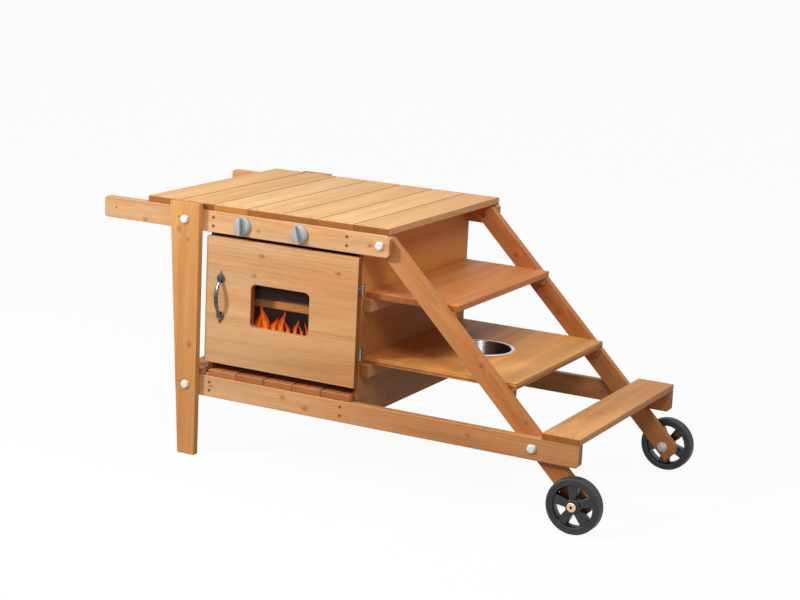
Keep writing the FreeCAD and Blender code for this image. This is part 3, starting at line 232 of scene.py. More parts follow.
    rough = add_node(tree, "MapRange", {"From Min": 0.3, "From Max": 0.7, "To Min": 0.46, "To Max": 0.62},
                     {"Value": fibres}).outputs[0]
    height = add_node(tree, "Math", {"operation": "ADD"}, {0: fibres, 1: late_share}).outputs[0]
    bump = add_node(tree, "Bump", {"Strength": 0.35, "Distance": 0.25 * MM}, {"Height": height})
    tree.links.new(colour, surface.inputs["Base Color"])
    tree.links.new(rough, surface.inputs["Roughness"])
    tree.links.new(bump.outputs["Normal"], surface.inputs["Normal"])
    surface.inputs["IOR"].default_value = 1.5
    surface.inputs["Specular IOR Level"].default_value = 0.25
    return material


def dress(material, *names):
    """Gives the material to every slot of the named pieces."""
    for name in names:
        for slot in nodes[name].material_slots:
            slot.material = material


# The front top rail is painted darker towards its left end: painted shade that tempers the key lamp's
# stronger light there.
dress(timber("oiled_larch_front_top_rail", "#F2C696", "#D4A16A", (0, -243, 548),
             ALONG_X + Vector((0, 0, 1.4)), ring=4.2, drift=("X", -425, -480, "#F0E6E2"), knots=[
                 ((-534, 0, 542), (6, THROUGH, 4)),
                 ((-222, 0, 553), (5, THROUGH, 3.4)),
                 ((67, 0, 558), (5, THROUGH, 3.4)),
             ]), "front_top_rail")
dress(timber("oiled_larch_back_top_rail", "#E7B37D", "#C68C57", (0, 236, 590),
             ALONG_X + Vector((0, 0, -1)), ring=3.6,
             knots=[((-300, 0, 568), (6, THROUGH, 4)), ((20, 0, 551), (5, THROUGH, 3.6))]),
      "back_top_rail")
dress(timber("oiled_larch_front_bottom_rail", "#E9B886", "#C89262",
             (-150, -236, 186), ALONG_X + Vector((0, 0, 1)), ring=4.4,
             drift=("X", -150, 250, "#E8D7C3"), knots=[
                 ((-339, 0, 171), (5, THROUGH, 3.4)),
                 ((-143, 0, 177), (7, THROUGH, 5)),
                 ((-83, 0, 160), (7, THROUGH, 5)),
                 ((330, 0, 172), (5, THROUGH, 3.4)),
             ]), "front_bottom_rail")
dress(timber("oiled_larch_back_bottom_rail", "#D29863", "#AE7342", (0, 246, 140),
             ALONG_X + Vector((0, 0, -1.3)), ring=3.8,
             knots=[((420, 0, 166), (6, THROUGH, 4)), ((-60, 0, 180), (5, THROUGH, 3.6))]),
      "back_bottom_rail")
dress(timber("oiled_larch_front_leg", "#E6AD6D", "#C78D49", (-404, -262, 300),
             ALONG_Z + Vector((1.1, 0, 0)), ring=3.8, drift=("Z", 330, 120, "#FBF2EE"), knots=[
                 ((-425, 0, 535), (5, THROUGH, 7)),
                 ((-402, 0, 513), (3, THROUGH, 4)),
                 ((-391, 0, 266), (5, THROUGH, 7)),
             ]), "front_leg")
dress(timber("oiled_larch_back_leg", "#DFA96A", "#BC8447", (-415, 256, 300), ALONG_Z + Vector((-1, 0, 0)),
             ring=4.2, knots=[((-408, 0, 420), (5, THROUGH, 7)), ((-396, 0, 120), (4, THROUGH, 6))]),
      "back_leg")

# Oven box. Stained plywood sides and back screwed to square larch bearers, a floor of short larch slats
# with eased edges that runs on behind the legs as a ledge, and one loose shelf on two battens.

dress(timber("planed_larch_top_bearers", "#C98E5C", "#A56A3C", (-160, 0, 520), ALONG_Y, ring=3.6),
      "top_bearers")
dress(timber("planed_larch_bottom_bearers", "#C58A58", "#A0663A", (-160, 0, 120), ALONG_Y, ring=3.8),
      "bottom_bearers")
# Stained plywood is an even, deep brown with hardly a ring in it and fine lines of veneer on its edges.
# The right side is painted darker below the upper shelf, a painted shade for the shadow that falls there.
SIDE_PANELS = (
    ("oven_left_panel", "#D28945", "#94592C", -300, None),
    ("oven_right_panel", "#E29B4C", "#A06532", 10, ("Z", 450, 370, "#CBC6D2")),
)
for panel, early, late, pith_x, drift in SIDE_PANELS:
    dress(timber("stained_plywood_" + panel, early, late, (pith_x, 0, 330), ALONG_Y + Vector((0, 0, 3)),
                 ring=7, contrast=0.15, plies=("X", 2), drift=drift), panel)
dress(timber("stained_plywood_oven_back_panel", "#C2874E", "#965B2E", (-160, 330, 360),
             ALONG_X + Vector((0, 0, 3)), ring=7, contrast=0.15, plies=("Y", 2)), "oven_back_panel")
FLOOR_TONES = (
    ("#E8AF7D", "#C28254"), ("#E6A872", "#BC7C49"), ("#DFA06B", "#B57142"),
    ("#DF9F69", "#B67144"), ("#E6A772", "#BA7A4C"), ("#DB9965", "#AD6B40"),
)
LEDGE_X = -388
FLOOR_PITCH = 76
# The seam colour darkens each slat's long eased edges: painted shade for the groove between slats.
for number, (early, late) in enumerate(FLOOR_TONES):
    middle_x = LEDGE_X + FLOOR_PITCH * number
    dress(timber(f"oiled_larch_floor_slat_{number}", early, late, (middle_x + 9 * (-1) ** number, 0, 176),
                 ALONG_Y + Vector((1, 0, 0)), ring=3.6, ends="#D8C4AE", seam="#5E3A20"),
          f"oven_floor_slat_{number}" if number else "ledge_slat")
dress(timber("planed_larch_oven_shelf", "#FAAB5B", "#D0823C", (-160, 0, 300), ALONG_X + Vector((0, 0, 2)),
             ring=5, staves=("Y", 62)), "oven_shelf")
dress(timber("planed_larch_oven_shelf_battens", "#C98E5C", "#A56A3C", (-160, 0, 340), ALONG_Y, ring=3.4),
      "oven_shelf_battens")

# Worktop. Seven planed larch slats laid across the top rails with a thin seam between them, each cut
# from another part of the log, and screwed down at both ends.

# Each slat: its early and late wood, the tint of its ends, how far off its middle its pith lies, and the
# height of the pith.
SLAT_TONES = (
    ("#E6B77C", "#CB975A", "#C49A70", -30, 540), ("#E2B076", "#C68F53", "#AA8A6C", 26, 552),
    ("#E9BB82", "#CF9C60", "#DCB884", -12, 530), ("#E5B67C", "#CA9658", "#B8946C", 34, 548),
    ("#E3B37A", "#C79256", "#BE956C", -38, 536), ("#E9BC83", "#CF9D61", "#BC966E", 10, 545),
    ("#E1AF76", "#C48E53", "#B48E68", -22, 551),
)
SLAT_PITCH = 91.5
# One pitch to the left of the first slat's middle.
SLAT_START = -574
# The seam colour darkens each slat's long eased edges: painted shade for the groove between slats.
for number, (early, late, ends, off_x, pith_z) in enumerate(SLAT_TONES, start=1):
    middle_x = SLAT_START + SLAT_PITCH * number
    dress(timber(f"oiled_larch_worktop_slat_{number}", early, late, (middle_x + off_x, 0, pith_z),
                 ALONG_Y + Vector((1.2 * (-1) ** number, 0, 0.6)), ring=4.6, contrast=0.5, ends=ends,
                 seam="#6A4220", flushed=0.4), f"worktop_slat_{number}")

# Stair. Two redder larch stringers bolted inside the rails, with short cleats and long battens on them and
# on the oven's side, an upper shelf of glued-up board and a lower one of thick plywood that rest there, and
# a step plank at the foot.

DOWN_STAIR = Vector((0, 135, 0))
dress(timber("oiled_larch_front_stringer", "#DE9D63", "#B97A45",
             (340, -226, 300), DOWN_STAIR + Vector((0, 0, 1)), ring=4,
             drift=("X", 180, 470, "#F1E4D2"),
             knots=[((343, 0, 326), (6, THROUGH, 6)), ((457, 0, 218), (6, THROUGH, 6))]),
      "front_stringer")
dress(timber("oiled_larch_back_stringer", "#D9955C", "#AE693E",
             (340, 300, 300), DOWN_STAIR + Vector((0, 0, -1)), ring=4,
             knots=[((300, 0, 348), (6, THROUGH, 6)), ((180, 0, 470), (5, THROUGH, 5))]),
      "back_stringer")
for level, code_early, code_late in (("upper", "#D49F70", "#B27C50"), ("lower", "#CF9560", "#A97042")):
    dress(timber(f"oiled_larch_{level}_cleats", code_early, code_late, (230, 0, 380), ALONG_X, ring=3.4),
          f"{level}_shelf_cleats")
    dress(timber(f"oiled_larch_{level}_batten", code_early, code_late, (40, 0, 330), ALONG_Y, ring=3.4),
          f"{level}_shelf_batten")
dress(timber("oiled_larch_upper_shelf", "#DC9557", "#B7703D", (160, 0, 390), ALONG_Y + Vector((1.4, 0, 0)),
             ring=4.6, staves=("X", 76)), "upper_shelf")
# The lower shelf is painted darker towards the oven: painted shade for the shadow of the oven and the upper
# shelf.
dress(timber("oiled_larch_plywood_lower_shelf", "#EEB267", "#C38341", (230, 0, 236),
             ALONG_Y + Vector((1.4, 0, 0)), ring=4.6, staves=("X", 94), plies=("Z", 5),
             drift=("X", 330, 110, "#EADCD4")), "lower_shelf")
dress(timber("oiled_larch_step_plank", "#DFA667", "#B97E41", (552, 0, 150), ALONG_Y + Vector((1.2, 0, 0)),
             ring=4.4, knots=[((548, -60, 0), (4, 6, THROUGH))], ends="#C7A78B"), "step_plank")

# Screws, bolts, nuts and washers. Steel with a thin zinc coat, a little mottled, driven flush or
# just under the surface of the wood.


def finish(name, pale, deep, mottle, rough, relief, constants):
    """A made surface with two close colours mottled at a size in millimetres, a range of roughness that
    follows the mottling, and a relief in millimetres; constants are values of the shader's own sockets."""
    material = bpy.data.materials.new(name)
    material.use_nodes = True
    tree = material.node_tree
    surface = tree.nodes["Principled BSDF"]
    place = add_node(tree, "TexCoord", {}, {})
    cloud = add_node(tree, "TexNoise", {"Scale": 1 / (mottle * MM), "Detail": 4, "Roughness": 0.6},
                     {"Vector": place.outputs["Object"]}).outputs[0]
    spread = add_node(tree, "MapRange", {"From Min": 0.3, "From Max": 0.7}, {"Value": cloud}).outputs[0]
    colour = add_node(tree, "Mix", {"data_type": "RGBA", 6: linear(deep), 7: linear(pale)}, {0: spread})
    gloss = add_node(tree, "MapRange", {"To Min": rough[0], "To Max": rough[1]}, {"Value": spread})
    bump = add_node(tree, "Bump", {"Strength": 0.5, "Distance": relief * MM}, {"Height": cloud})
    tree.links.new(colour.outputs[2], surface.inputs["Base Color"])
    tree.links.new(gloss.outputs[0], surface.inputs["Roughness"])
    tree.links.new(bump.outputs["Normal"], surface.inputs["Normal"])
    for socket, constant in constants.items():
        surface.inputs[socket].default_value = constant
    return material


# Zinc plating gone dull gives a warm grey metal with soft, uneven highlights.
zinc = finish("zinc_plate", "#B4AEA6", "#857E76", 2, (0.34, 0.5), 0.02, {"Metallic": 1})
dress(zinc, "door_screws", "frame_bolts", "frame_nuts", "axle_nuts", "axle_washers", "catch_plate")

# The screws in the wood are bronzed, a dull brown that hardly shows against it.
dress(finish("bronzed_steel", "#BC8856", "#94643A", 2, (0.5, 0.62), 0.02, {"Metallic": 0.4}),
      "worktop_screws", "frame_screws")

# Snap caps. White moulded polypropylene domes pressed over the bolt heads, each with the stub of its
# hinge strap at the edge, and larger ones over the axle nuts inside the stringers.


def turned(profile, rounding, closed=False, steps=56):
    """A solid turned about Z from a profile of radius and height, its inner corners rounded first."""
    bm = bmesh.new()
    verts = [bm.verts.new((radius, 0, height)) for radius, height in profile]
    ends = verts[1:] + verts[:1] if closed else verts[1:]
    for pair in zip(verts, ends):
        bm.edges.new(pair)
    if rounding:
        corners = verts if closed else verts[1:-1]
        bmesh.ops.bevel(bm, geom=corners, affect="VERTICES", offset=rounding, offset_type="OFFSET",
                        segments=4, profile=0.5, material=-1, clamp_overlap=True)
    bmesh.ops.spin(bm, geom=bm.verts[:] + bm.edges[:], axis=(0, 0, 1), cent=(0, 0, 0),
                   angle=math.tau, steps=steps, use_merge=True)
    bmesh.ops.remove_doubles(bm, verts=bm.verts, dist=0.001)
    bmesh.ops.recalc_face_normals(bm, faces=bm.faces)
    return bm


def block(size, middle, rounding, segments=3):
    """A rectangular block with rounded edges."""
    bm = bmesh.new()
    bmesh.ops.create_cube(bm, size=1)
    bmesh.ops.scale(bm, vec=size, verts=bm.verts)
    bmesh.ops.bevel(bm, geom=bm.edges[:], affect="EDGES", offset=rounding, offset_type="OFFSET",
                    segments=segments, profile=0.5, material=-1, clamp_overlap=True)
    bmesh.ops.translate(bm, vec=middle, verts=bm.verts)
    return bm


def gather(whole, part, *places):
    """Adds a copy of the part to the whole at each place, then lets the part go."""
    for place in places:
        copy = part.copy()
        bmesh.ops.transform(copy, matrix=place, verts=copy.verts)
        mesh = bpy.data.meshes.new("copy")
        copy.to_mesh(mesh)
        copy.free()
        whole.from_mesh(mesh)
        bpy.data.meshes.remove(mesh)
    part.free()


def facing_out(x, y, z, spin=0.0):
    """The place of a part made along +Z that faces away from the kitchen's middle, front or back."""
    lie = math.radians(90 if y < 0 else -90)
    return Matrix.Translation((x, y, z)) @ Matrix.Rotation(lie, 4, "X") @ Matrix.Rotation(spin, 4, "Z")


# Edges that turn by more than this many degrees stay sharp.
SHARP_FROM = 38


def add_piece(name, bm, material, body, slot, *replaced):
    """The finished mesh, made in millimetres, as a smooth piece of the kitchen that rides on a body."""
    bmesh.ops.scale(bm, vec=(MM, MM, MM), verts=bm.verts)
    mesh = bpy.data.meshes.new(name)
    bm.to_mesh(mesh)
    bm.free()
    mesh.materials.append(material)
    mesh.shade_smooth()
    mesh.set_sharp_from_angle(angle=math.radians(SHARP_FROM))
    piece = bpy.data.objects.new(name, mesh)
    bpy.context.scene.collection.objects.link(piece)
    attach(piece, body)
    if replaced:
        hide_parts(*replaced)
    return piece


CAP_SPOTS = ((-410.9, 303, 560), (-399.8, 303, 169), (90.5, 285, 560), (481.9, 285, 169))
STRAP_TURN = math.radians(40)
AXLE_X = 588.5
AXLE_Z = 62.5
# Where the axle nuts' caps sit on the stringers' inner faces, out from the middle.
NUT_CAP_Y = 247
caps = bmesh.new()
dome = turned([(0, 5.5), (6.2, 5.5), (9.1, 4.2), (9.4, 1.4), (10, 1.2), (10, 0), (0, 0)], 0.5)
strap = block((5.4, 5.4, 2.2), (9.4, 0, 1.3), 0.9)
gather(dome, strap, Matrix.Rotation(STRAP_TURN, 4, "Z"))
gather(caps, dome, *[facing_out(x, side * y, z) for x, y, z in CAP_SPOTS for side in (-1, 1)])
nut_cap = turned([(0, 10), (5.4, 9.6), (8.2, 7.4), (8.8, 3.2), (11.4, 2.6), (12, 1.8), (12, 0), (0, 0)],
                 0.6)
gather(caps, nut_cap, *[
    Matrix.Translation((AXLE_X, side * NUT_CAP_Y, AXLE_Z))
    @ Matrix.Rotation(math.radians(90 * side), 4, "X")
    for side in (-1, 1)
])
# Polypropylene is a clean white with a soft sheen and a faint moulded texture.
polypropylene = finish("white_polypropylene", "#F4F4F2", "#EAEAE7", 3, (0.3, 0.4), 0.02, {"IOR": 1.49})
add_piece("snap_caps", caps, polypropylene, "frame", "white_plastic", "bolt_caps")

# Bowl. Spun from thin stainless sheet with a rolled rim, and hung by it in the round hole of the lower
# shelf, so that it lifts straight out to be emptied.

BOWL_X = 221
BOWL_TOP = 295
SPIN_SPACING = 1.8
bowl = turned([(0, -58.9), (43, -58.9), (66.6, 0.4), (69.2, 1.6), (73.6, 1.6), (75, 0.8), (75, 0),
               (68, -0.2), (44.1, -60), (0, -60)], 0.4)
bmesh.ops.translate(bowl, vec=(BOWL_X, 0, BOWL_TOP), verts=bowl.verts)
# Spun stainless shows fine rings round the axis, drawn further apart than real ones so that they show.
stainless = finish("spun_stainless_steel", "#B9BBBD", "#A3A6A9", 9, (0.12, 0.2), 0.01, {"Metallic": 1})
tree = stainless.node_tree
surface = tree.nodes["Principled BSDF"]
place = add_node(tree, "TexCoord", {}, {})
about = add_node(tree, "Mapping", {"vector_type": "TEXTURE", "Location": (BOWL_X * MM, 0, 0)},
                 {"Vector": place.outputs["Object"]}).outputs["Vector"]
spun = add_node(tree, "TexWave", {
    "wave_type": "RINGS", "rings_direction": "Z", "Distortion": 1.5, "Detail": 2,
    "Scale": math.tau / (WAVE_TURN * SPIN_SPACING * MM),
}, {"Vector": about}).outputs["Fac"]
brushed = add_node(tree, "MapRange", {"To Min": 0.26, "To Max": 0.31}, {"Value": spun}).outputs[0]
lines = add_node(tree, "Bump", {"Strength": 0.05, "Distance": 0.03 * MM}, {"Height": spun})
# The rim is painted paler as a painted highlight, and the inside darker as a painted reflection of the
# shaded shelf above it.
height = add_node(tree, "SeparateXYZ", {}, {0: place.outputs["Object"]}).outputs["Z"]
rim = add_node(tree, "MapRange", {"From Min": (BOWL_TOP - 1) * MM, "From Max": (BOWL_TOP + 0.6) * MM},
               {"Value": height}).outputs[0]
rim_highlight_and_inside_shade = add_node(tree, "Mix", {"data_type": "RGBA", 6: linear("#6E7074"), 7: linear("#D6D8DA")}, {0: rim})
tree.links.new(rim_highlight_and_inside_shade.outputs[2], surface.inputs["Base Color"])
tree.links.new(brushed, surface.inputs["Roughness"])
tree.links.new(lines.outputs["Normal"], surface.inputs["Normal"])
add_piece("spun_bowl", bowl, stainless, "bowl", "stainless_steel", "sink_bowl")

# Wheels. Moulded black ABS with a hub, five broad spokes and a rim in one, a softer tyre pressed on, and
# an axle bolt with a domed, copper plated head through the middle.

WHEEL_INSIDE = 269
WHEEL_WIDTH = 28
WHEEL_REST = math.radians(5)
SPOKES = 5


def moulded_wheel():
    """The rim, the hub and the spokes, which broaden towards the rim, standing on the inner face."""
    wheel = turned([(46, 2.5), (47.5, 0.5), (51.6, 0.5), (51.6, 27.5), (47.5, 27.5), (46, 25.5), (45, 20),
                    (45, 8)], 0.7, closed=True)
    hub = turned([(5.1, 0.2), (17.5, 0.2), (18.5, 9), (16.5, 26.4), (14.6, 28), (11.6, 28), (11.2, 27.2),
                  (5.1, 27.2)], 0.6, closed=True)
    gather(wheel, hub, Matrix())
    spoke = block((17, 36, 20), (0, 31, 14), 2.4)
    for vert in spoke.verts:
        vert.co.x *= 1 + 0.42 * max(0, (vert.co.y - 22) / 27)
    gather(wheel, spoke, *[Matrix.Rotation(math.tau * n / SPOKES, 4, "Z") for n in range(SPOKES)])
    return wheel


def grooved_tyre():
    """The tyre, half its profile mirrored for the rest, with a groove on each side and two in the tread."""
    half = [(51.5, 0.2), (53.2, 0), (53.8, 1), (55.4, 1), (56, 0), (59.2, 0.2), (61.6, 1.4), (62.5, 4),
            (62.5, 8.4), (61.2, 9), (61.2, 10.4), (62.5, 11)]
    return turned(half + [(radius, WHEEL_WIDTH - height) for radius, height in reversed(half)], 0.3,
                  closed=True, steps=72)


# ABS off the mould is a satin near-black that pales a little on worn faces.
black_abs = finish("black_abs", "#201F1F", "#171616", 6, (0.3, 0.44), 0.03, {"IOR": 1.53})
# Rubber is duller, with a fine dusty bloom.
rubber = finish("black_rubber", "#292726", "#1D1B1B", 4, (0.42, 0.6), 0.06, {"IOR": 1.52})
for side, sign in (("front", -1), ("back", 1)):
    hub_place = facing_out(AXLE_X, sign * WHEEL_INSIDE, AXLE_Z, WHEEL_REST)
    for name, made, material, slot, node in (
        ("wheel_moulding", moulded_wheel(), black_abs, "black_plastic", "wheel"),
        ("tyre_tread", grooved_tyre(), rubber, "black_rubber", "tyre"),
    ):
        bmesh.ops.transform(made, matrix=hub_place, verts=made.verts)
        add_piece(f"{side}_{name}", made, material, f"{side}_wheel", slot, f"{side}_{node}")
# Copper plating on a steel bolt head is a pale rosy metal with a satin face; the socket for its key, some
# 3 mm from the middle to a side, is not shaped but painted dark, a painted shade for its hollow.
copper = finish("copper_plated_steel", "#F2CDB4", "#E2B294", 5, (0.3, 0.42), 0.02, {"Metallic": 1})
tree = copper.node_tree
surface = tree.nodes["Principled BSDF"]
place = add_node(tree, "TexCoord", {}, {})
spoked = add_node(tree, "Mapping", {
    "vector_type": "TEXTURE", "Location": (AXLE_X * MM, 0, AXLE_Z * MM), "Scale": (MM, THROUGH, MM),
}, {"Vector": place.outputs["Object"]}).outputs["Vector"]
away = add_node(tree, "VectorMath", {"operation": "LENGTH"}, {0: spoked}).outputs["Value"]
# Painted shade for the key socket: dark within 3 to 4 mm of the axle.
dark = add_node(tree, "MapRange", {"From Min": 4, "From Max": 2.8}, {"Value": away}).outputs[0]
plated = surface.inputs["Base Color"].links[0].from_socket
plated = add_node(tree, "Mix", {"data_type": "RGBA", 7: linear("#5A2A1C")}, {0: dark, 6: plated})
tree.links.new(plated.outputs[2], surface.inputs["Base Color"])
dress(copper, "axle_bolts")

# Oven door. A thick board of glued larch strips with a round-cornered window, hung on two zinc hinges,
# with a clear acrylic pane screwed on behind and a magnet catch.

dress(timber("oiled_larch_oven_door", "#E2B17F", "#C89460", (-160, -226, 380),
             ALONG_X + Vector((0, 0, 1.6)), ring=7, contrast=0.45, staves=("Z", 58),
             ends="#B8926E", drift=("X", -290, 10, "#FDF1E5"), knots=[
                 ((-211, 0, 497), (7, THROUGH, 4)),
                 ((-229, 0, 448), (6, THROUGH, 3.6)),
                 ((-10, 0, 484), (6, THROUGH, 3.6)),
             ]), "oven_door")
# Dull zinc on the hinges has blotches and small scratches that break up its reflections.
dress(finish("dull_zinc_plate", "#C2C0BC", "#6A6866", 2.5, (0.14, 0.32), 0.05, {"Metallic": 1}),
      "hinge_frame_leaves", "hinge_door_leaves", "hinge_pins")
# Brown ABS is close to the wood's own colour, with a dull moulded face.
dress(finish("brown_moulded_abs", "#5B3A26", "#4A2E1E", 4, (0.4, 0.55), 0.03, {"IOR": 1.53}),
      "magnet_catch")
# Clear acrylic lets nearly everything through and shows only a faint smoke and a few soft reflections.
dress(finish("clear_acrylic", "#4A4E50", "#3A3E40", 30, (0.04, 0.09), 0.0, {"Alpha": 0.08, "IOR": 1.49}),
      "window_pane")

# Flame print. Screen-printed flames on the lower half of the pane in three inks, red at the back, then
# orange, then yellow, each a thin film laid on the one under it.

PRINT_FOOT = 324
PANE_FACE = -266.6
FILM = 0.15
# Each tongue: the middle of its foot, its width, its height and how far its tip leans.
TONGUES = (
    (-226, 16, 42, 8), (-207, 22, 58, -11), (-185, 16, 34, 10), (-166, 18, 52, 10), (-146, 11, 30, -9),
    (-127, 10, 38, 8), (-110, 8, 24, -6), (-95, 8, 34, -6),
)


def tongue_film(tongue, share, lift):
    """One flame as a thin film: a strip that swells, narrows to a point and sways as it rises."""
    foot, width, height, lean = tongue
    bm = bmesh.new()
    bmesh.ops.create_grid(bm, x_segments=2, y_segments=20, size=1)
    for vert in bm.verts:
        rise = (vert.co.y + 1) / 2
        half = vert.co.x * width / 2 * share * (1 - rise) ** 0.9 * (1 + 0.4 * math.sin(math.pi * rise))
        sway = lean * (rise ** 2 - 0.5 * rise * math.sin(math.tau * rise))
        vert.co = (foot + half + sway * share, PANE_FACE - lift, PRINT_FOOT + height * share * rise)
    bmesh.ops.remove_doubles(bm, verts=bm.verts, dist=0.001)
    made = bmesh.ops.extrude_face_region(bm, geom=bm.faces[:])
    moved = [item for item in made["geom"] if isinstance(item, bmesh.types.BMVert)]
    bmesh.ops.translate(bm, vec=(0, -FILM, 0), verts=moved)
    bmesh.ops.recalc_face_normals(bm, faces=bm.faces)
    return bm


# Opaque inks: saturated and nearly matt, a little uneven where the screen printed thin.
INKS = (("red_ink", "#DE4A0A", "#A83006", 1.0), ("orange_ink", "#EE6E0C", "#CC5006", 0.7),
        ("yellow_ink", "#E6A21E", "#C67A10", 0.4))
for layer, (ink, pale, deep, share) in enumerate(INKS):
    film = bmesh.new()
    for number, tongue in enumerate(TONGUES):
        lift = FILM * (2.2 * layer + 0.2 + number % 2)
        gather(film, tongue_film(tongue, share, lift), Matrix())
    printed = finish(f"screen_print_{ink}", pale, deep, 14, (0.5, 0.65), 0.01, {"Specular IOR Level": 0.1})
    add_piece(f"flame_print_{ink}", film, printed, "oven_door", None)

# Door handle. Cast in zinc and darkened to an antique pewter: a bowed strap that swells in the middle,
# a round rose at each end with a domed stud, and a small pointed finial.

HANDLE_X = -319
HANDLE_Z = 387
DOOR_FACE = -284.6
HANDLE_SPAN = 88
BOW = 20
# Where the strap's beads are and how wide, as shares of half its length.
BEAD_PLACE = 0.74
BEAD_WIDTH = 0.045
# How far beyond the middle of a rose its finial starts, and how high it lies.
FINIAL_START = 8.2
FINIAL_LIFT = 1.9
bow_radius = (HANDLE_SPAN ** 2 / 4 + BOW ** 2) / (2 * BOW)
bow_angle = 2 * math.acos((bow_radius - BOW) / bow_radius)
handle = bmesh.new()
bmesh.ops.create_circle(handle, radius=1, segments=20)
bmesh.ops.scale(handle, vec=(5.6, 1.7, 1), verts=handle.verts)
bmesh.ops.rotate(handle, cent=(0, 0, 0), matrix=Matrix.Rotation(math.radians(90), 3, "X"),
                 verts=handle.verts)
bmesh.ops.translate(handle, vec=(0, 0, bow_radius), verts=handle.verts)
bmesh.ops.rotate(handle, cent=(0, 0, 0), matrix=Matrix.Rotation(-bow_angle / 2, 3, "X"),
                 verts=handle.verts)
bmesh.ops.spin(handle, geom=handle.verts[:] + handle.edges[:], axis=(1, 0, 0), cent=(0, 0, 0),
               angle=bow_angle, steps=44)
bmesh.ops.holes_fill(handle, edges=handle.edges)
for vert in handle.verts:
    along = abs(math.atan2(vert.co.y, vert.co.z)) / (bow_angle / 2)
    bead = math.exp(-((along - BEAD_PLACE) / BEAD_WIDTH) ** 2)
    vert.co.x *= 1.06 - 0.52 * along ** 2 + 0.3 * bead
    reach = Vector((0, vert.co.y, vert.co.z))
    middle = reach.normalized() * bow_radius
    vert.co += (reach - middle) * (0.7 * bead)
bmesh.ops.translate(handle, vec=(0, 0, BOW - bow_radius), verts=handle.verts)
bmesh.ops.recalc_face_normals(handle, faces=handle.faces)
rose = turned([(0, 7.6), (2.6, 7.3), (4.4, 6.1), (5.2, 4.4), (5.5, 3.4), (7.2, 3.1), (8.3, 3.9),
               (9.3, 3.6), (10, 2.4), (10, 0), (0, 0)], 0.3)
gather(handle, rose, *[Matrix.Translation((0, end * HANDLE_SPAN / 2, 0)) for end in (-1, 1)])
finial = turned([(0, 0), (4.4, 0), (4.6, 1.6), (2.5, 3), (3.2, 4.6), (1.7, 7.2), (0.5, 10.2),
                 (0, 10.4)], 0.4, steps=24)
bmesh.ops.scale(finial, vec=(1, 0.62, 1), verts=finial.verts)
gather(handle, finial, *[
    Matrix.Translation((0, end * (HANDLE_SPAN / 2 + FINIAL_START), FINIAL_LIFT))
    @ Matrix.Rotation(math.radians(-90 * end), 4, "X")
    for end in (-1, 1)
])
bmesh.ops.transform(handle, matrix=facing_out(HANDLE_X, DOOR_FACE, HANDLE_Z), verts=handle.verts)
# Darkened cast zinc keeps a dark grey in its hollows, with brighter rubbed metal and broken highlights.
pewter = finish("antique_pewter", "#77736F", "#3A3638", 7, (0.14, 0.26), 0.03, {"Metallic": 1})
add_piece("handle_casting", handle, pewter, "oven_door", "pewter", "door_handle")

# Oven knobs. Grey moulded ABS: a shallow dome with a raised pointer ridge across it, each on a dowel in
# the front rail; the right one is left turned a little. A nearly black strip on each flank is painted
# shade.

KNOB_FACE = -285.5
KNOB_Z = 560
KNOB_RADIUS = 21.5


def ridge_at(y, z):
    """The share of its full width that a knob's ridge has at a point, and how far that point drops."""
    lift = max(0, (z - 4) / 18)
    along = y / KNOB_RADIUS
    return (1 - 0.3 * lift) * (0.8 - 0.3 * along), lift * 1.6 * (1 + along)


def pointer_knob():
    """A shallow dome and its ridge, which narrows to the top and to one end."""
    knob = turned([(0, 9.4), (9.7, 8.8), (17.2, 7), (20.6, 4.2), (KNOB_RADIUS, 1.4), (20.9, 0), (0, 0)],
                  1.2)
    ridge = block((9, 41, 18), (0, 0, 12), 1.4, segments=4)
    for vert in ridge.verts:
        width, drop = ridge_at(vert.co.y, vert.co.z)
        vert.co.x *= width
        vert.co.z -= drop
    gather(knob, ridge, Matrix())
    return knob


def shaded_flank_strips():
    """Painted shade: a dark strip on each flank of a knob's ridge, thin and leaf shaped, 0.3 mm proud of
    it.
    """
    strips = bmesh.new()
    strip = block((1.2, 35, 9), (0, 0, 13.4), 0.4)
    for vert in strip.verts:
        vert.co.z = 13 + (vert.co.z - 13.4) * (1 - 0.75 * (vert.co.y / 17.5) ** 2)
        width, drop = ridge_at(vert.co.y, vert.co.z)
        vert.co.x += 4.2 * width
        vert.co.z -= drop
    gather(strips, strip, Matrix(), Matrix.Scale(-1, 4, (1, 0, 0)))
    bmesh.ops.recalc_face_normals(strips, faces=strips.faces)
    return strips


# Satin grey ABS, a little blue, with soft highlights along the ridge.
grey_abs = finish("grey_abs", "#B7BDC1", "#A8AFB3", 8, (0.24, 0.36), 0.02, {"IOR": 1.53})
# The flank strips are a nearly black plastic with a dull face, painted shade on the ridge's flanks.
flank_shade_plastic = finish("painted_shade_flank_plastic", "#3A3E42", "#2C3033", 5, (0.5, 0.62), 0.02, {"IOR": 1.5})
for side, x, lean in (("left", -264, 0), ("right", -113, 17)):
    knob_place = facing_out(x, KNOB_FACE, KNOB_Z, math.radians(lean))
    knob = pointer_knob()
    bmesh.ops.transform(knob, matrix=knob_place, verts=knob.verts)
    add_piece(f"{side}_pointer_knob", knob, grey_abs, f"{side}_knob", "grey_plastic", f"knob_{side}")
    strips = shaded_flank_strips()
    bmesh.ops.transform(strips, matrix=knob_place, verts=strips.verts)
    add_piece(f"{side}_knob_grip_strips", strips, flank_shade_plastic, f"{side}_knob", None)
# Beech is pale and even, with fine close rings.
dress(timber("beech_dowel", "#D8B088", "#BE9168", (-188, 0, 560), ALONG_Y, ring=2), "knob_spindles")

# Studio. A pale floor and a white surround, a soft key from the front left, and weaker lamps over the
# worktop's front, over the stair and at its side. To the camera, and in reflections and through the pane,
# the surround is plain white.

FILL_STRENGTH = 0.3
FLOOR_SIZE = 60
# The floor lies a little under the feet, in millimetres, so that no two faces meet.
FLOOR_DROP = 0.2
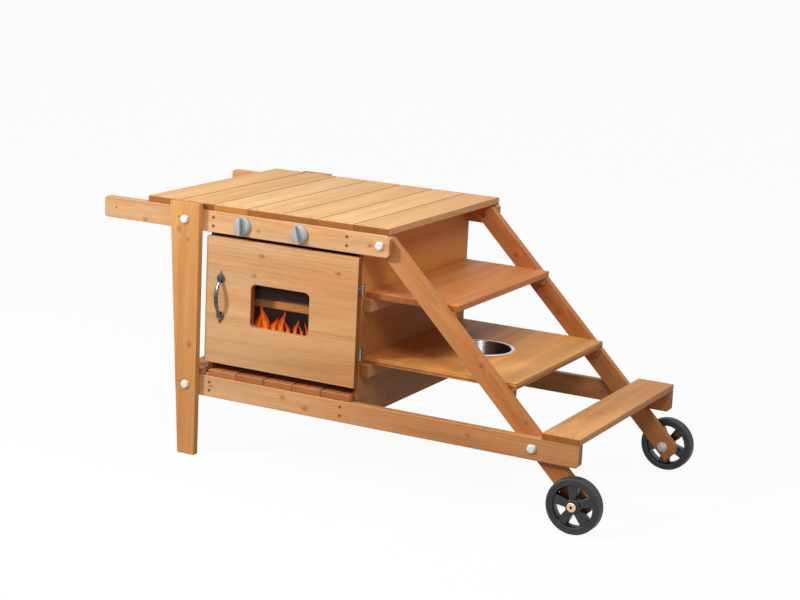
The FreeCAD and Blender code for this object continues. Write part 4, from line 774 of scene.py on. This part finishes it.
# The share of plain white in what the camera sees of the floor; the rest takes shadows.
PAPER_GLOW = 0.94


def plain_white(tree):
    """One for camera, glossy and transmission rays, and nought for the rays that carry light."""
    rays = add_node(tree, "LightPath", {}, {})
    seen = add_node(tree, "Math", {"operation": "MAXIMUM"},
                    {0: rays.outputs["Is Camera Ray"], 1: rays.outputs["Is Glossy Ray"]}).outputs[0]
    return add_node(tree, "Math", {"operation": "MAXIMUM"},
                    {0: seen, 1: rays.outputs["Is Transmission Ray"]}).outputs[0]


scene = bpy.context.scene
scene.view_settings.view_transform = "Standard"
world = bpy.data.worlds.new("studio")
scene.world = world
world.use_nodes = True
tree = world.node_tree
fill = tree.nodes["Background"]
fill.inputs["Color"].default_value = (1, 1, 1, 1)
fill.inputs["Strength"].default_value = FILL_STRENGTH
white = add_node(tree, "Background", {"Color": (1, 1, 1, 1), "Strength": 1}, {})
surround = add_node(tree, "MixShader", {}, {
    0: plain_white(tree), 1: fill.outputs[0], 2: white.outputs[0],
})
tree.links.new(surround.outputs[0], tree.nodes["World Output"].inputs["Surface"])

ground = bmesh.new()
bmesh.ops.create_grid(ground, x_segments=1, y_segments=1, size=FLOOR_SIZE / 2)
bmesh.ops.translate(ground, vec=(0, 0, -FLOOR_DROP * MM), verts=ground.verts)
mesh = bpy.data.meshes.new("studio_floor")
ground.to_mesh(mesh)
ground.free()
floor = bpy.data.objects.new("studio_floor", mesh)
scene.collection.objects.link(floor)
# Paper is a matt white that shows only the faintest shadow.
paper = bpy.data.materials.new("white_paper")
paper.use_nodes = True
tree = paper.node_tree
matt = tree.nodes["Principled BSDF"]
paleness = add_node(tree, "Mix", {"data_type": "RGBA", 6: linear("#939392"), 7: linear("#FAFAF9")},
                    {0: plain_white(tree)}).outputs[2]
tree.links.new(paleness, matt.inputs["Base Color"])
matt.inputs["Roughness"].default_value = 0.9
matt.inputs["Specular IOR Level"].default_value = 0
glow = add_node(tree, "Emission", {"Color": (1, 1, 1, 1), "Strength": 1}, {})
share = add_node(tree, "Math", {"operation": "MULTIPLY", 1: PAPER_GLOW}, {0: plain_white(tree)})
backdrop = add_node(tree, "MixShader", {}, {0: share.outputs[0], 1: matt.outputs[0], 2: glow.outputs[0]})
tree.links.new(backdrop.outputs[0], tree.nodes["Material Output"].inputs["Surface"])
mesh.materials.append(paper)

# Each lamp: its power, its size, its place and the point it is turned to.
LAMPS = {
    "soft_key": (64, 0.4, Vector((-2.05, -2.35, 1.9)), Vector((-0.1, 0, 0.4))),
    "broad_lamp": (6, 1.0, Vector((-0.35, -1, 1.7)), Vector((-0.2, 0, 0.5))),
    "side_lamp": (14, 0.5, Vector((1.3, -1.5, 1.9)), Vector((0.1, -0.1, 0.4))),
    "top_lamp": (8, 1.0, Vector((0.5, 0.15, 2)), Vector((0.2, 0, 0.3))),
}
for name, (power, size, spot, target) in LAMPS.items():
    light = bpy.data.lights.new(name, "AREA")
    light.energy = power
    light.size = size
    lamp = bpy.data.objects.new(name, light)
    lamp.location = spot
    lamp.rotation_euler = (spot - target).to_track_quat("Z", "Y").to_euler()
    scene.collection.objects.link(lamp)

# Camera. Where the photograph was taken from, worked out from the kitchen's own edges. Its place is in
# metres, its turns in radians, and its lens in millimetres.

CAMERA_PLACE = Vector((2.0523, -3.9383, 1.3599))
FOCAL_LENGTH = 86.7
SENSOR_WIDTH = 36
YAW = 0.4806
PITCH = 0.2179
ROLL = 0.0478
ahead = Vector((-math.sin(YAW) * math.cos(PITCH), math.cos(YAW) * math.cos(PITCH), -math.sin(PITCH)))
right = Vector((math.cos(YAW), math.sin(YAW), 0))
up = right.cross(ahead)
view_x = math.cos(ROLL) * right + math.sin(ROLL) * up
view_y = math.cos(ROLL) * up - math.sin(ROLL) * right
lens = bpy.data.cameras.new("camera")
lens.sensor_fit = "HORIZONTAL"
lens.sensor_width = SENSOR_WIDTH
lens.lens = FOCAL_LENGTH
camera = bpy.data.objects.new("camera", lens)
camera.matrix_world = Matrix((view_x, view_y, -ahead)).transposed().to_4x4()
camera.location = CAMERA_PLACE
scene.collection.objects.link(camera)
scene.camera = camera
